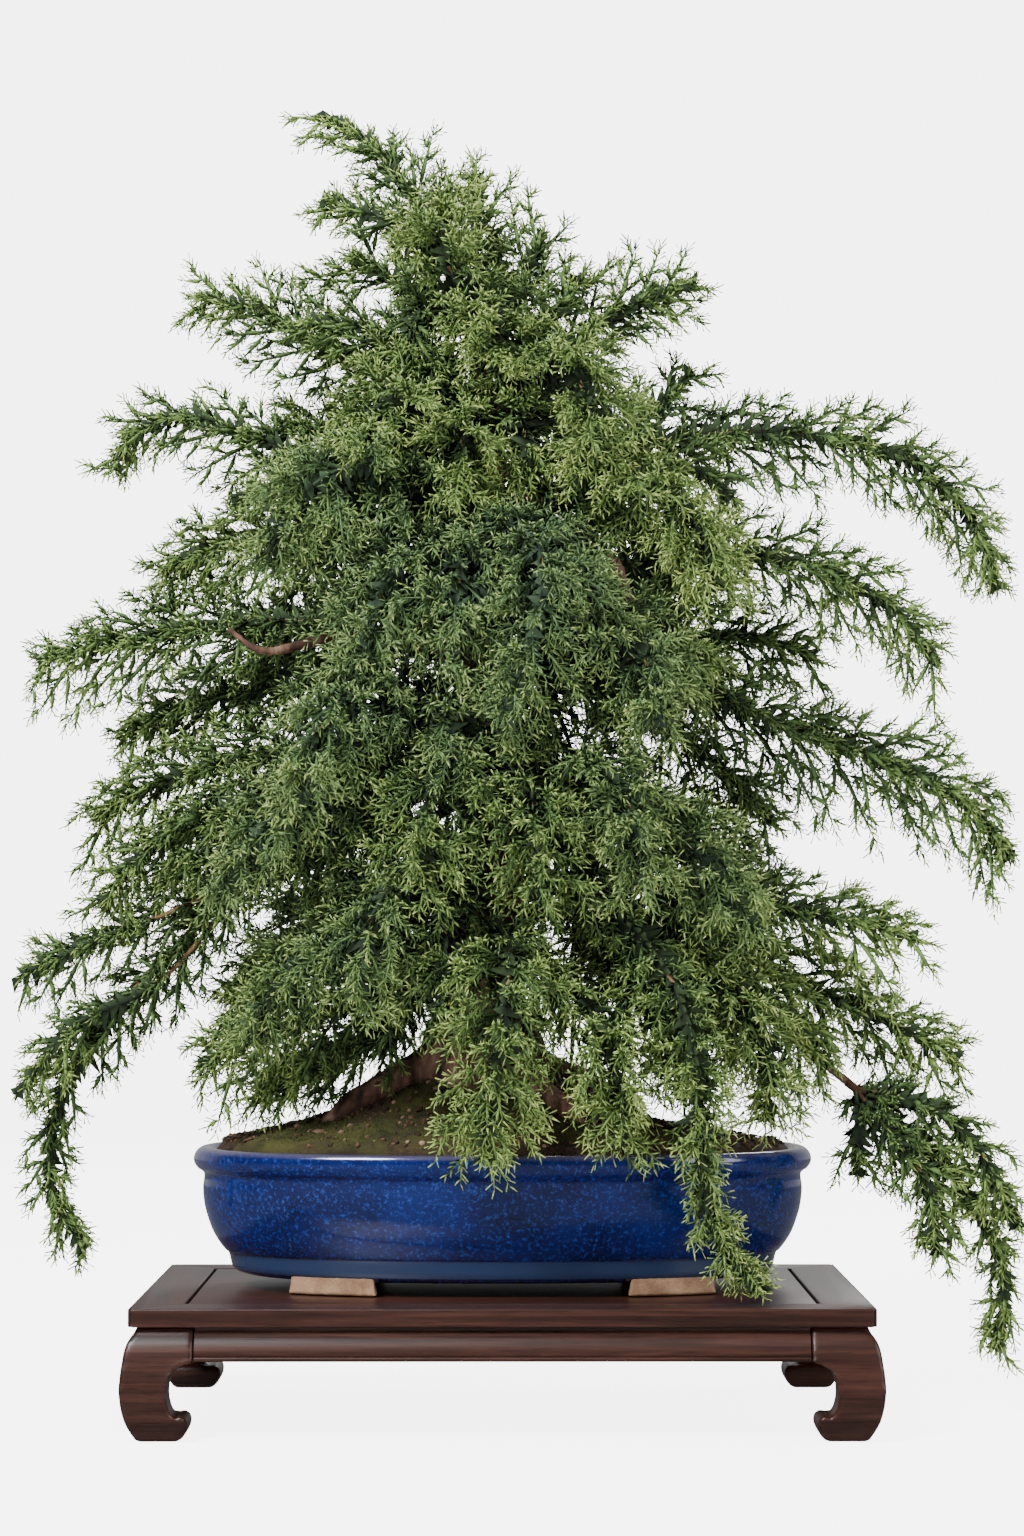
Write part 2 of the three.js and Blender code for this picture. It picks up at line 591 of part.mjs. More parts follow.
// Leafy sprays. Each has bare wood from the trunk or a limb to its fork, then one or more leafy stems.
// The first stem carries on from the wood. reach is the leafy twigs' length at the widest part,
// core the half thickness of the stem among them.
const SPRAYS = [
  // Crown
  { name: "crown_leader", wood: [[-33, -2, 840], [-38, -3, 852]], stems: [
    { reach: 42, core: 8, points: [[-52, -4, 880], [-72, -6, 916], [-98, -6, 950], [-137, -4, 978]] },
    { reach: 32, core: 6, points: [[-66, -22, 878], [-98, -28, 894], [-136, -28, 906]] },
    { reach: 42, core: 9, points: [[-24, 10, 878], [-20, 12, 904], [-24, 8, 932]] },
  ] },
  { name: "crown_right", wood: [[-22, 0, 812], [-6, -2, 820]], stems: [
    { reach: 42, core: 11, points: [[8, -8, 836], [20, -10, 858], [30, -8, 884]] },
  ] },
  { name: "crown_left", wood: [[-26, -2, 822], [-42, -8, 826]], stems: [
    { reach: 52, core: 12, points: [[-62, -10, 834], [-88, -12, 852], [-114, -14, 862]] },
    { reach: 44, core: 12, points: [[-58, -34, 824], [-68, -54, 808], [-70, -62, 780]] },
  ] },
  { name: "crown_front", wood: [[-22, -2, 808], [-24, -18, 816]], stems: [
    { reach: 50, core: 15, points: [[-34, -38, 836], [-44, -56, 866], [-48, -62, 906]] },
    { reach: 50, core: 15, points: [[-14, -54, 822], [-4, -82, 802], [0, -92, 764]] },
  ] },
  { name: "crown_back", wood: [[-20, 2, 802], [-22, 18, 814]], stems: [
    { reach: 50, core: 17, points: [[-14, 40, 836], [-6, 58, 862], [-6, 66, 900]] },
  ] },

  // Upper tier
  { name: "upper_left", wood: [[-17, 3, 762], [-40, -2, 768]], stems: [
    { reach: 50, core: 10, points: [[-90, -8, 784], [-138, -12, 798], [-182, -16, 824], [-229, -18, 836]] },
    { reach: 56, core: 17, points: [[-72, 12, 742], [-116, 16, 734], [-166, 12, 744]] },
    { reach: 44, core: 12, points: [[-68, -34, 790], [-106, -44, 806], [-148, -46, 810]] },
  ] },
  { name: "upper_right", wood: [[-15, 3, 756], [10, -2, 766]], stems: [
    { reach: 42, core: 9, points: [[50, -8, 796], [98, -14, 828], [145, -16, 846]] },
    { reach: 40, core: 9, points: [[20, -22, 796], [42, -26, 824], [60, -26, 848]] },
  ] },
  { name: "upper_front_right", wood: [[-14, 0, 738], [0, -18, 752]], stems: [
    { reach: 58, core: 18, points: [[24, -58, 782], [48, -96, 772], [64, -118, 730], [68, -124, 684]] },
    { reach: 46, core: 12, points: [[10, -56, 744], [16, -84, 724], [18, -94, 688]] },
  ] },
  { name: "upper_front_left", wood: [[-14, 0, 724], [-28, -18, 736]], stems: [
    { reach: 58, core: 18, points: [[-54, -58, 756], [-86, -92, 744], [-112, -106, 706]] },
    { reach: 54, core: 15, points: [[-26, -56, 738], [-30, -92, 716], [-26, -104, 672]] },
    { reach: 40, core: 11, points: [[-44, -44, 762], [-52, -52, 788]] },
  ] },
  { name: "upper_back", wood: [[-14, 6, 730], [-14, 28, 742]], stems: [
    { reach: 60, core: 20, points: [[-52, 62, 764], [-92, 94, 764], [-124, 114, 732]] },
    { reach: 60, core: 20, points: [[24, 60, 764], [60, 88, 758], [90, 108, 722]] },
  ] },

  // Second tier
  { name: "second_left", wood: [[-12, 2, 690], [-52, -3, 696]], stems: [
    { reach: 40, core: 8,
      points: [[-120, -10, 704], [-184, -14, 728], [-236, -16, 744], [-272, -18, 734], [-292, -18, 704]] },
    { reach: 44, core: 11, points: [[-106, -34, 682], [-156, -40, 688], [-202, -40, 680]] },
  ] },
  { name: "second_right", wood: [[-11, 3, 700], [30, -2, 710], [84, -6, 722]], stems: [
    { reach: 46, core: 8,
      points: [[156, -8, 732], [226, -10, 732], [296, -12, 716], [350, -12, 670], [371, -10, 614]] },
    { reach: 44, core: 8, points: [[104, 8, 746], [126, 14, 764], [144, 16, 784]] },
    { reach: 42, core: 9, points: [[110, -28, 710], [146, -36, 700], [176, -36, 676]] },
  ] },
  { name: "second_front_left", wood: [[-12, -2, 656], [-34, -20, 670]], stems: [
    { reach: 60, core: 18,
      points: [[-76, -72, 694], [-118, -108, 692], [-154, -124, 662], [-170, -128, 622]] },
  ] },
  { name: "second_front_right", wood: [[-12, -2, 658], [8, -28, 680], [34, -50, 676]], stems: [
    { reach: 56, core: 18, points: [[72, -86, 688], [110, -112, 682], [142, -122, 648], [154, -126, 602]] },
  ] },
  { name: "second_back_left", wood: [[-12, 4, 672], [-34, 24, 684]], stems: [
    { reach: 62, core: 20, points: [[-80, 72, 700], [-126, 108, 688], [-164, 128, 644]] },
  ] },
  { name: "second_back_right", wood: [[-12, 6, 664], [14, 26, 678]], stems: [
    { reach: 62, core: 20, points: [[58, 74, 694], [102, 108, 680], [138, 126, 632]] },
  ] },

  // Middle tier
  { name: "front_column", wood: [[-19, -8, 616], [-10, -36, 630]], stems: [
    { reach: 54, core: 17, points: [[12, -96, 650], [28, -134, 624], [22, -152, 572], [0, -158, 508]] },
    { reach: 56, core: 17, points: [[-54, -92, 636], [-86, -126, 604], [-98, -142, 552]] },
    { reach: 54, core: 15, points: [[-24, -84, 640], [-32, -122, 606], [-36, -140, 548]] },
    { reach: 50, core: 15, points: [[30, -78, 634], [58, -112, 612], [72, -126, 568]] },
  ] },
  { name: "middle_left", wood: [[-20, -2, 620], [-58, -6, 630]], stems: [
    { reach: 54, core: 15, points: [[-118, -12, 646], [-174, -14, 652], [-222, -16, 644], [-254, -18, 628]] },
  ] },
  { name: "middle_far_left", wood: [[-22, -4, 560], [-84, -10, 574]], stems: [
    { reach: 54, core: 12,
      points: [[-156, -16, 590], [-228, -20, 586], [-290, -22, 574], [-347, -24, 560]] },
    { reach: 50, core: 15, points: [[-146, 14, 546], [-206, 22, 538], [-252, 22, 526], [-290, 20, 502]] },
  ] },
  { name: "middle_right", wood: [[-18, 0, 600], [40, -2, 612]], stems: [
    { reach: 52, core: 12,
      points: [[104, 2, 634], [170, 0, 643], [232, -4, 634], [290, -8, 603], [327, -10, 560]] },
    { reach: 56, core: 15, points: [[84, -22, 598], [122, -34, 588], [152, -40, 560]] },
  ] },
  { name: "middle_right_front", wood: [[-17, -6, 552], [22, -36, 570]], stems: [
    { reach: 56, core: 18, points: [[72, -96, 578], [102, -128, 552], [114, -142, 504]] },
    { reach: 52, core: 14, points: [[28, -66, 552], [30, -84, 528], [24, -96, 498]] },
    { reach: 46, core: 14, points: [[52, -68, 568], [74, -84, 540], [84, -92, 504]] },
  ] },
  { name: "middle_back_left", wood: [[-20, 4, 596], [-50, 36, 606]], stems: [
    { reach: 64, core: 20, points: [[-108, 88, 614], [-166, 124, 590], [-208, 142, 538]] },
  ] },
  { name: "middle_back", wood: [[-20, 6, 612], [-18, 38, 624]], stems: [
    { reach: 62, core: 20, points: [[-16, 94, 634], [-16, 136, 606], [-16, 160, 552]] },
  ] },
  { name: "middle_back_right", wood: [[-18, 4, 584], [14, 36, 596]], stems: [
    { reach: 64, core: 20, points: [[76, 88, 612], [130, 124, 588], [172, 142, 534]] },
  ] },

  // Lower tier
  { name: "lower_left", wood: [[-12, -2, 466], [-64, -6, 480]], stems: [
    { reach: 56, core: 13,
      points: [[-134, -14, 490], [-204, -18, 484], [-262, -20, 466], [-306, -20, 442]] },
    { reach: 56, core: 15, points: [[-124, 18, 446], [-194, 26, 428], [-262, 26, 394]] },
    { reach: 52, core: 15, points: [[-140, -52, 458], [-208, -58, 446], [-272, -58, 410], [-294, -58, 374]] },
  ] },
  { name: "lower_left_front", wood: [[-14, -8, 492], [-46, -44, 516]], stems: [
    { reach: 56, core: 17, points: [[-94, -106, 536], [-130, -138, 504], [-146, -152, 448]] },
    { reach: 54, core: 17, points: [[-108, -84, 476], [-164, -110, 440], [-204, -120, 386]] },
    { reach: 52, core: 15, points: [[-48, -82, 532], [-40, -112, 514], [-28, -124, 472]] },
  ] },
  { name: "lower_front_centre", wood: [[-11, -10, 452], [-16, -46, 474]], stems: [
    { reach: 54, core: 17, points: [[-40, -108, 482], [-54, -142, 446], [-58, -158, 394]] },
    { reach: 54, core: 17, points: [[14, -108, 472], [24, -142, 432], [22, -158, 380]] },
  ] },
  { name: "lower_front_right", wood: [[-9, -8, 430], [26, -40, 452]], stems: [
    { reach: 56, core: 17, points: [[66, -104, 478], [92, -140, 446], [100, -156, 392]] },
    { reach: 54, core: 17, points: [[92, -72, 440], [144, -104, 412], [182, -116, 356]] },
    { reach: 46, core: 14, points: [[48, -76, 424], [60, -94, 400], [62, -100, 366]] },
  ] },
  { name: "lower_right", wood: [[-15, 0, 516], [38, -2, 540], [96, -4, 552]], stems: [
    { reach: 60, core: 11,
      points: [[160, -6, 534], [226, -8, 508], [296, -10, 484], [350, -12, 452], [380, -12, 412]] },
    { reach: 50, core: 15, points: [[122, 18, 516], [164, 26, 484], [204, 26, 442]] },
    { reach: 48, core: 12, points: [[132, 34, 574], [188, 40, 584], [238, 36, 568]] },
  ] },
  { name: "lower_back_left", wood: [[-12, 6, 458], [-50, 44, 478]], stems: [
    { reach: 66, core: 20, points: [[-114, 102, 490], [-176, 140, 462], [-224, 158, 404]] },
  ] },
  { name: "lower_back", wood: [[-11, 8, 482], [-6, 48, 500]], stems: [
    { reach: 64, core: 20, points: [[0, 112, 506], [4, 154, 472], [6, 176, 414]] },
  ] },
  { name: "lower_back_right", wood: [[-9, 6, 432], [44, 44, 452]], stems: [
    { reach: 66, core: 20, points: [[108, 100, 462], [164, 138, 430], [210, 156, 372]] },
  ] },

  // Skirt
  { name: "left_cascade",
    wood: [[-12, -4, 414], [-66, -16, 436], [-126, -24, 434], [-178, -30, 408]], stems: [
    { reach: 36, core: 7,
      points: [[-234, -36, 354], [-289, -40, 295], [-328, -42, 228], [-332, -42, 168], [-308, -42, 123]] },
    { reach: 36, core: 7, points: [[-236, -46, 376], [-300, -52, 350], [-361, -54, 322]] },
    { reach: 32, core: 6, points: [[-256, -46, 318], [-314, -64, 288], [-356, -70, 238]] },
  ] },
  { name: "skirt_left", wood: [[-14, -6, 336], [-54, -18, 342]], stems: [
    { reach: 54, core: 15, points: [[-108, -14, 352], [-158, -14, 340], [-206, -14, 310]] },
    { reach: 50, core: 12, points: [[-104, -52, 308], [-162, -62, 288], [-222, -62, 262]] },
    { reach: 52, core: 12, points: [[-72, 2, 298], [-120, 8, 270], [-182, 8, 246]] },
    { reach: 42, core: 9, points: [[-84, -32, 286], [-132, -40, 260], [-180, -40, 236]] },
  ] },
  { name: "skirt_front_left", wood: [[-13, -10, 376], [-34, -44, 396]], stems: [
    { reach: 54, core: 17, points: [[-68, -108, 400], [-94, -142, 366], [-104, -156, 310]] },
    { reach: 52, core: 17, points: [[-96, -84, 364], [-150, -110, 334], [-184, -118, 286]] },
    { reach: 50, core: 15, points: [[-72, -68, 424], [-118, -78, 426], [-166, -82, 398]] },
    { reach: 46, core: 12, points: [[-38, -82, 384], [-42, -112, 346], [-46, -126, 296]] },
  ] },
  { name: "skirt_front_centre", wood: [[-14, -14, 322], [-4, -50, 342]], stems: [
    { reach: 54, core: 13, points: [[4, -106, 352], [4, -142, 320], [-4, -158, 262], [-14, -162, 198]] },
    { reach: 52, core: 12, points: [[40, -98, 324], [70, -130, 290], [84, -148, 244], [88, -154, 206]] },
  ] },
  { name: "front_cascade", wood: [[-10, -10, 364], [48, -50, 376]], stems: [
    { reach: 34, core: 8,
      points: [[96, -108, 358], [130, -142, 300], [140, -156, 236], [142, -160, 172], [160, -158, 132],
        [186, -156, 104]] },
    { reach: 52, core: 15, points: [[118, -60, 350], [168, -84, 316], [192, -92, 262], [192, -94, 222]] },
    { reach: 52, core: 13, points: [[84, -44, 330], [114, -52, 290], [134, -56, 236]] },
  ] },
  { name: "right_cascade",
    wood: [[-11, 0, 384], [60, -4, 390], [124, -10, 352], [190, -16, 302], [256, -22, 246]], stems: [
      { reach: 36, core: 7, points: [[315, -26, 197], [354, -28, 148], [371, -28, 98], [364, -28, 49]] },
      { reach: 34, core: 7, points: [[312, -44, 230], [352, -48, 196], [378, -48, 140]] },
      { reach: 34, core: 6, points: [[286, -48, 210], [312, -54, 172], [318, -54, 122]] },
      { reach: 32, core: 6, points: [[264, -36, 216], [262, -38, 178]] },
    ] },
  { name: "right_fan", wood: [[60, -4, 390], [108, 4, 392]], stems: [
    { reach: 50, core: 12, points: [[178, 6, 384], [244, 0, 370], [310, -8, 354]] },
    { reach: 48, core: 12, points: [[150, -34, 346], [202, -44, 306], [240, -46, 258]] },
    { reach: 54, core: 12, points: [[174, 16, 346], [234, 14, 316], [290, 6, 290], [342, -4, 262]] },
  ] },
  { name: "skirt_back_left", wood: [[-14, 8, 384], [-54, 44, 396]], stems: [
    { reach: 62, core: 18, points: [[-116, 100, 388], [-172, 134, 344], [-204, 148, 284]] },
  ] },
  { name: "skirt_back", wood: [[-14, 10, 364], [-14, 50, 384]], stems: [
    { reach: 60, core: 18, points: [[-16, 112, 382], [-20, 152, 338], [-22, 168, 274]] },
  ] },
  { name: "skirt_back_right", wood: [[-10, 8, 356], [44, 44, 372]], stems: [
    { reach: 62, core: 18, points: [[106, 100, 362], [158, 130, 316], [184, 142, 256]] },
  ] },
];

// Where the side stems leave the first stem, a little beyond the end of the bare wood
function forkPoint(spray) {
  const fork = new THREE.Vector3(...spray.wood[spray.wood.length - 1]);
  const next = new THREE.Vector3(...spray.stems[0].points[0]);
  return fork.addScaledVector(next.sub(fork).normalize(), FORK_STEP).toArray();
}

// Every stem and piece of bare wood as a row of points with the half thickness there
function placeSprays() {
  const stems = [];
  const wood = [];
  for (const spray of SPRAYS) {
    spray.stems.forEach((stem, index) => {
      const before = index === 0 ? spray.wood : [forkPoint(spray)];
      const all = [...before, ...stem.points];
      const curve = curveThrough(all);
      const start = (before.length - 1) / (all.length - 1);
      const samples = evenShares(start, 1, STEM_SAMPLES).map((share) => curve.getPoint(share));
      stems.push({ spray, stem, curve, start, samples, first: index === 0 });
    });
    const limbCurve = stems.find((entry) => entry.spray === spray && entry.first);
    const shares = evenShares(0, limbCurve.start, 3 * (spray.wood.length - 1));
    const points = shares.slice(0, -1).map((share) => limbCurve.curve.getPoint(share));
    wood.push({ spray, points: points.map((point) => ({ point, radius: STEM_START + WOOD_ROOM })) });
  }
  return { stems, wood };
}

const { stems: STEMS, wood: BARE_WOOD } = placeSprays();

function limbPoints(points, radius) {
  const curve = curveThrough(points);
  return evenShares(0, 1, 4 * points.length).map((share) => ({ point: curve.getPoint(share), radius }));
}

const TRUNK_LINE = TRUNK.map(([x, y, z]) => [x, y, z]);
const SOLID_WOOD = [
  ...limbPoints(TRUNK_LINE, 0).map(({ point }) => ({ point, radius: trunkRadius(point.z) })),
  ...ROOTS.flatMap((root) => limbPoints(root.points, root.thick)),
  ...STUBS.flatMap((stub) => limbPoints(stub.points, stub.thick / 2 + 1)),
];

function trunkRadius(z) {
  for (let k = 1; k < TRUNK.length; k += 1) {
    if (z <= TRUNK[k][2]) {
      const share = (z - TRUNK[k - 1][2]) / (TRUNK[k][2] - TRUNK[k - 1][2]);
      return TRUNK[k - 1][3] + (TRUNK[k][3] - TRUNK[k - 1][3]) * Math.max(share, 0);
    }
  }
  return TRUNK[TRUNK.length - 1][3];
}

// The lowest height that leaves may reach over pot, stand and floor
function lowestAt(x, y) {
  if (ovalShare(x, y, POT_RIM_HALF + RIM_ROOM, POT_RIM_TOP) < 1) {
    return Math.max(soilHeight(x, y), POT_RIM_TOP) + EDGE_ROOM;
  }
  const overLength = Math.abs(x) < STAND_LENGTH / 2 + EDGE_ROOM;
  const overDepth = Math.abs(y) < STAND_DEPTH / 2 + EDGE_ROOM;
  return overLength && overDepth ? SLAB_TOP + EDGE_ROOM : EDGE_ROOM;
}

function nearest(point, samples) {
  return Math.sqrt(Math.min(...samples.map((sample) => sample.distanceToSquared(point))));
}

// Whether a leafy twig may pass a point: nearer its own stem than any other, and clear of wood and pot
function isFree(point, own, halfWidth) {
  const ownAway = nearest(point, own.samples) - own.stem.core;
  if (point.z - halfWidth < lowestAt(point.x, point.y)) {
    return false;
  }
  for (const other of STEMS) {
    const otherAway = other === own ? Infinity : nearest(point, other.samples) - other.stem.core;
    if (otherAway < ownAway + ROOM_MARGIN + halfWidth) {
      return false;
    }
  }
  for (const { spray, points } of BARE_WOOD) {
    if (spray !== own.spray) {
      for (const { point: place, radius } of points) {
        if (place.distanceTo(point) < radius + halfWidth + ROOM_MARGIN) {
          return false;
        }
      }
    }
  }
  return SOLID_WOOD.every(({ point: place, radius }) => (
    place.distanceTo(point) > radius + halfWidth + ROOM_MARGIN));
}

// The length up to which a twig is free, tried from the full length down
function freeLength(base, direction, length, own, baseHalf) {
  for (const share of LENGTH_TRIES) {
    const clear = PLACES_TRIED.every((part) => {
      const away = length * share * part;
      const point = base.clone().addScaledVector(direction, away);
      const spread = nearest(point, own.samples) > LEAST_SPREAD * away;
      return spread && isFree(point, own, baseHalf * (1 - part));
    });
    if (clear) {
      return length * share;
    }
  }
  return 0;
}

// Half thickness along the leafy part, and the twigs' share of their full reach
function coreAt(stem, u) {
  if (u < CORE_SWELL) {
    return STEM_START + (stem.core - STEM_START) * (u / CORE_SWELL);
  }
  return stem.core + (STEM_END - stem.core) * ((u - CORE_SWELL) / (1 - CORE_SWELL)) ** CORE_TAPER;
}

function reachAt(u) {
  return Math.min(0.75 + u, 1, 0.5 + 1.3 * (1 - u));
}

// A list of corners and triangles that grows as the spray does
function makeSkin() {
  const corners = [];
  const triangles = [];
  return {
    corner(point) {
      corners.push(point.x, point.y, point.z);
      return corners.length / 3 - 1;
    },
    at(index) {
      return new THREE.Vector3(corners[3 * index], corners[3 * index + 1], corners[3 * index + 2]);
    },
    face(a, b, c) {
      triangles.push(a, b, c);
    },
    geometry() {
      const geometry = new THREE.BufferGeometry();
      geometry.setAttribute("position", new THREE.Float32BufferAttribute(corners, 3));
      geometry.setIndex(triangles);
      return geometry;
    },
  };
}

function middle(skin, loop) {
  const sum = new THREE.Vector3();
  loop.forEach((index) => sum.add(skin.at(index)));
  return sum.divideScalar(loop.length);
}

// A pointed tip over a loop of corners
function closeToPoint(skin, loop, point) {
  const apex = skin.corner(point);
  loop.forEach((corner, k) => skin.face(corner, loop[(k + 1) % loop.length], apex));
}

// The next loop of a twig, narrower than the one below by the given share
function narrowedLoop(skin, loop, centre, share) {
  const from = middle(skin, loop);
  return loop.map((index) => skin.corner(skin.at(index).sub(from).multiplyScalar(share).add(centre)));
}

function bandFaces(skin, low, high) {
  low.forEach((corner, k) => {
    const next = (k + 1) % low.length;
    skin.face(corner, low[next], high[next]);
    skin.face(corner, high[next], high[k]);
  });
}

// A whorl: each triangle between two loops rises to a three-sided needle that leans along the twig
function needleWhorl(skin, low, high, direction) {
  const centre = middle(skin, low).add(middle(skin, high)).multiplyScalar(0.5);
  low.forEach((corner, k) => {
    const next = (k + 1) % low.length;
    for (const face of [[corner, low[next], high[next]], [corner, high[next], high[k]]]) {
      const root = middle(skin, face);
      const out = root.clone().sub(centre).normalize();
      const lean = out.addScaledVector(direction, NEEDLE_LEAN).normalize();
      closeToPoint(skin, face, root.addScaledVector(lean, NEEDLE_LENGTH));
    }
  });
}

// A leafy twig raised from a four-sided patch of the stem, with a whorl of needles or plain
function raiseTwig(skin, loop, direction, length, needled) {
  const base = middle(skin, loop);
  if (!needled) {
    closeToPoint(skin, loop, base.addScaledVector(direction, length));
    return;
  }
  const at = (away) => base.clone().addScaledVector(direction, away);
  const neck = length * NECK_PLACE;
  const low = narrowedLoop(skin, loop, at(neck), NECK_SHARE);
  const high = narrowedLoop(skin, low, at(neck + NEEDLE_BAND), NECK_TAPER);
  bandFaces(skin, loop, low);
  needleWhorl(skin, low, high, direction);
  closeToPoint(skin, high, at(length));
}

// One leafy stem: a slim four-sided core whose patches rise to twigs, ending in a needled tip
function leafyStem(own, random) {
  const { stem, curve, start } = own;
  const length = curve.getLength() * (1 - start);
  const spacing = stem.reach > DENSE_REACH ? WIDE_SPACING : RING_SPACING;
  const bands = Math.max(Math.round((length - TIP_LENGTH) / spacing), 2);
  const last = 1 - (TIP_LENGTH / length) * (1 - start);
  const shares = evenShares(start, last, bands);
  const frames = framesAlong(curve, shares);
  const skin = makeSkin();
  const rings = frames.map(({ centre, side, over }, k) => {
    const radius = k === 0 && !own.first ? SIDE_STEM_START : coreAt(stem, k / bands);
    const [wide, high] = [CORE_WIDTH * radius, CORE_HEIGHT * radius];
    return [[1, 1], [-1, 1], [-1, -1], [1, -1]].map(([a, b]) => skin.corner(
      centre.clone().addScaledVector(side, a * wide).addScaledVector(over, b * high)));
  });
  skin.face(rings[0][0], rings[0][1], rings[0][2]);
  skin.face(rings[0][0], rings[0][2], rings[0][3]);
  let twigs = Math.floor(random() * NEEDLE_TWIG_EVERY);
  for (let k = 0; k < bands; k += 1) {
    const u = (k + 0.5) / bands;
    const { along, side, over } = frames[k];
    const outwards = [over, side.clone().negate(), over.clone().negate(), side];
    outwards.forEach((out, row) => {
      const next = (row + 1) % 4;
      const loop = [rings[k][next], rings[k][row], rings[k + 1][row], rings[k + 1][next]];
      const share = LENGTH_SHARES[0] + (LENGTH_SHARES[1] - LENGTH_SHARES[0]) * random();
      const wanted = stem.reach * reachAt(u) * ROW_SHARES[row] * share;
      const direction = out.clone().multiplyScalar(TWIG_SPREAD).addScaledVector(along, TWIG_LEAN);
      direction.addScaledVector(UP, -TWIG_DROOP * (0.5 + random())).normalize();
      const base = middle(skin, loop);
      const free = k === 0 ? 0 : freeLength(base, direction, wanted, own, spacing / 2);
      if (free < LEAST_TWIG) {
        skin.face(loop[0], loop[1], loop[2]);
        skin.face(loop[0], loop[2], loop[3]);
      } else {
        twigs += 1;
        const needled = twigs % NEEDLE_TWIG_EVERY === 0 && free > 3 * NEEDLE_LENGTH;
        raiseTwig(skin, loop, direction, free, needled);
      }
    });
  }
  const end = frames[bands];
  const top = [...rings[bands]].reverse();
  const place = end.centre.clone().addScaledVector(end.along, NEEDLE_BAND);
  const neck = narrowedLoop(skin, top, place, NECK_TAPER);
  needleWhorl(skin, top, neck, end.along);
  closeToPoint(skin, neck, curve.getPoint(1));
  return skin.geometry();
}

function makeFoliage() {
  const foliage = new THREE.Group();
  const random = makeRandom(SEED);
  for (const spray of SPRAYS) {
    const stems = STEMS.filter((entry) => entry.spray === spray);
    const solids = stems.map((entry) => toSolid(leafyStem(entry, random)));
    const joined = solids.reduce((whole, next) => whole.add(next));
    foliage.add(named(`spray_${spray.name}`, fromSolid(largestBody(joined)), leaf(random())));
  }
  return foliage;
}

// Trunk, surface roots, stubs and the bare wood up to each spray, one grown piece

function extended(points, by) {
  const last = new THREE.Vector3(...points[points.length - 1]);
  const before = new THREE.Vector3(...points[points.length - 2]);
  const end = last.clone().add(last.clone().sub(before).normalize().multiplyScalar(by));
  return [...points.slice(0, -1), end.toArray()];
}

function trunkSolid(extra) {
  const [[baseX, baseY, baseZ], ...rest] = TRUNK_LINE;
  const low = [[baseX, baseY, baseZ - extra], ...rest];
  const radiusAt = (share) => {
    const place = share * (TRUNK.length - 1);
    const index = Math.min(Math.floor(place), TRUNK.length - 2);
    const part = place - index;
    return TRUNK[index][3] * (1 - part) + TRUNK[index + 1][3] * part + extra;
  };
  const shares = evenShares(0, 1, TRUNK.length - 1);
  const curve = curveThrough(low);
  return toSolid(limb(curve, shares, TRUNK_SIDES, radiusAt, TRUNK_RELIEF, makeRandom(SEED + 1)));
}

function rootSolids(extra) {
  return ROOTS.map(({ points, thick, thin }) => {
    const radiusAt = (share) => thick + (thin - thick) * share + extra;
    return toSolid(limb(curveThrough(extended(points, extra)), evenShares(0, 1, 3), ROOT_SIDES, radiusAt));
  });
}

function makeWood() {
  const pieces = [trunkSolid(0), ...rootSolids(0)];
  for (const { points, thick, thin } of STUBS) {
    const radiusAt = (share) => thick + (thin - thick) * share;
    pieces.push(toSolid(limb(curveThrough(points), evenShares(0, 1, points.length), STUB_SIDES, radiusAt)));
  }
  for (const { curve, start, first, spray } of STEMS) {
    if (first) {
      const stop = start - (GAP / curve.getLength());
      const steps = 2 * spray.wood.length - 3;
      const narrowed = STEM_START - WOOD_START;
      const radiusAt = (share) => WOOD_START + narrowed * (share / start) ** WOOD_TAPER;
      pieces.push(toSolid(limb(curve, evenShares(0, stop, steps), WOOD_SIDES, radiusAt)));
    }
  }
  return largestBody(pieces.reduce((whole, next) => whole.add(next)));
}

const wood = makeWood();
const hole = rootSolids(HOLE_GAP).reduce((whole, next) => whole.add(next), trunkSolid(HOLE_GAP));

const bonsai = new THREE.Group();
bonsai.add(makeStand());
bonsai.add(makePot());
bonsai.add(named("drain_mesh_left", meshDisc(-1, MESH_RADIUS, MESH_THICKNESS), plasticMesh()));
bonsai.add(named("drain_mesh_right", meshDisc(1, MESH_RADIUS, MESH_THICKNESS), plasticMesh()));
bonsai.add(named("soil", fromSolid(largestBody(makeSoil(hole))), earth()));
bonsai.add(named("trunk_and_branches", fromSolid(wood), bark()));
bonsai.add(makeFoliage());

// The origin is on the floor, under the middle of the whole object
const bounds = new THREE.Box3().setFromObject(bonsai);
const centre = bounds.getCenter(new THREE.Vector3());
bonsai.position.set(-centre.x, -centre.y, -bounds.min.z);
bonsai.updateMatrixWorld(true);

export default bonsai;
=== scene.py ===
# Juniper bonsai in a blue oval pot on a low wooden stand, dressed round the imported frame. Metres, +Z up.
import bpy
import bmesh
import json
import math
import numpy as np
from mathutils import Matrix, Vector, noise
from mathutils.bvhtree import BVHTree
from mathutils.kdtree import KDTree

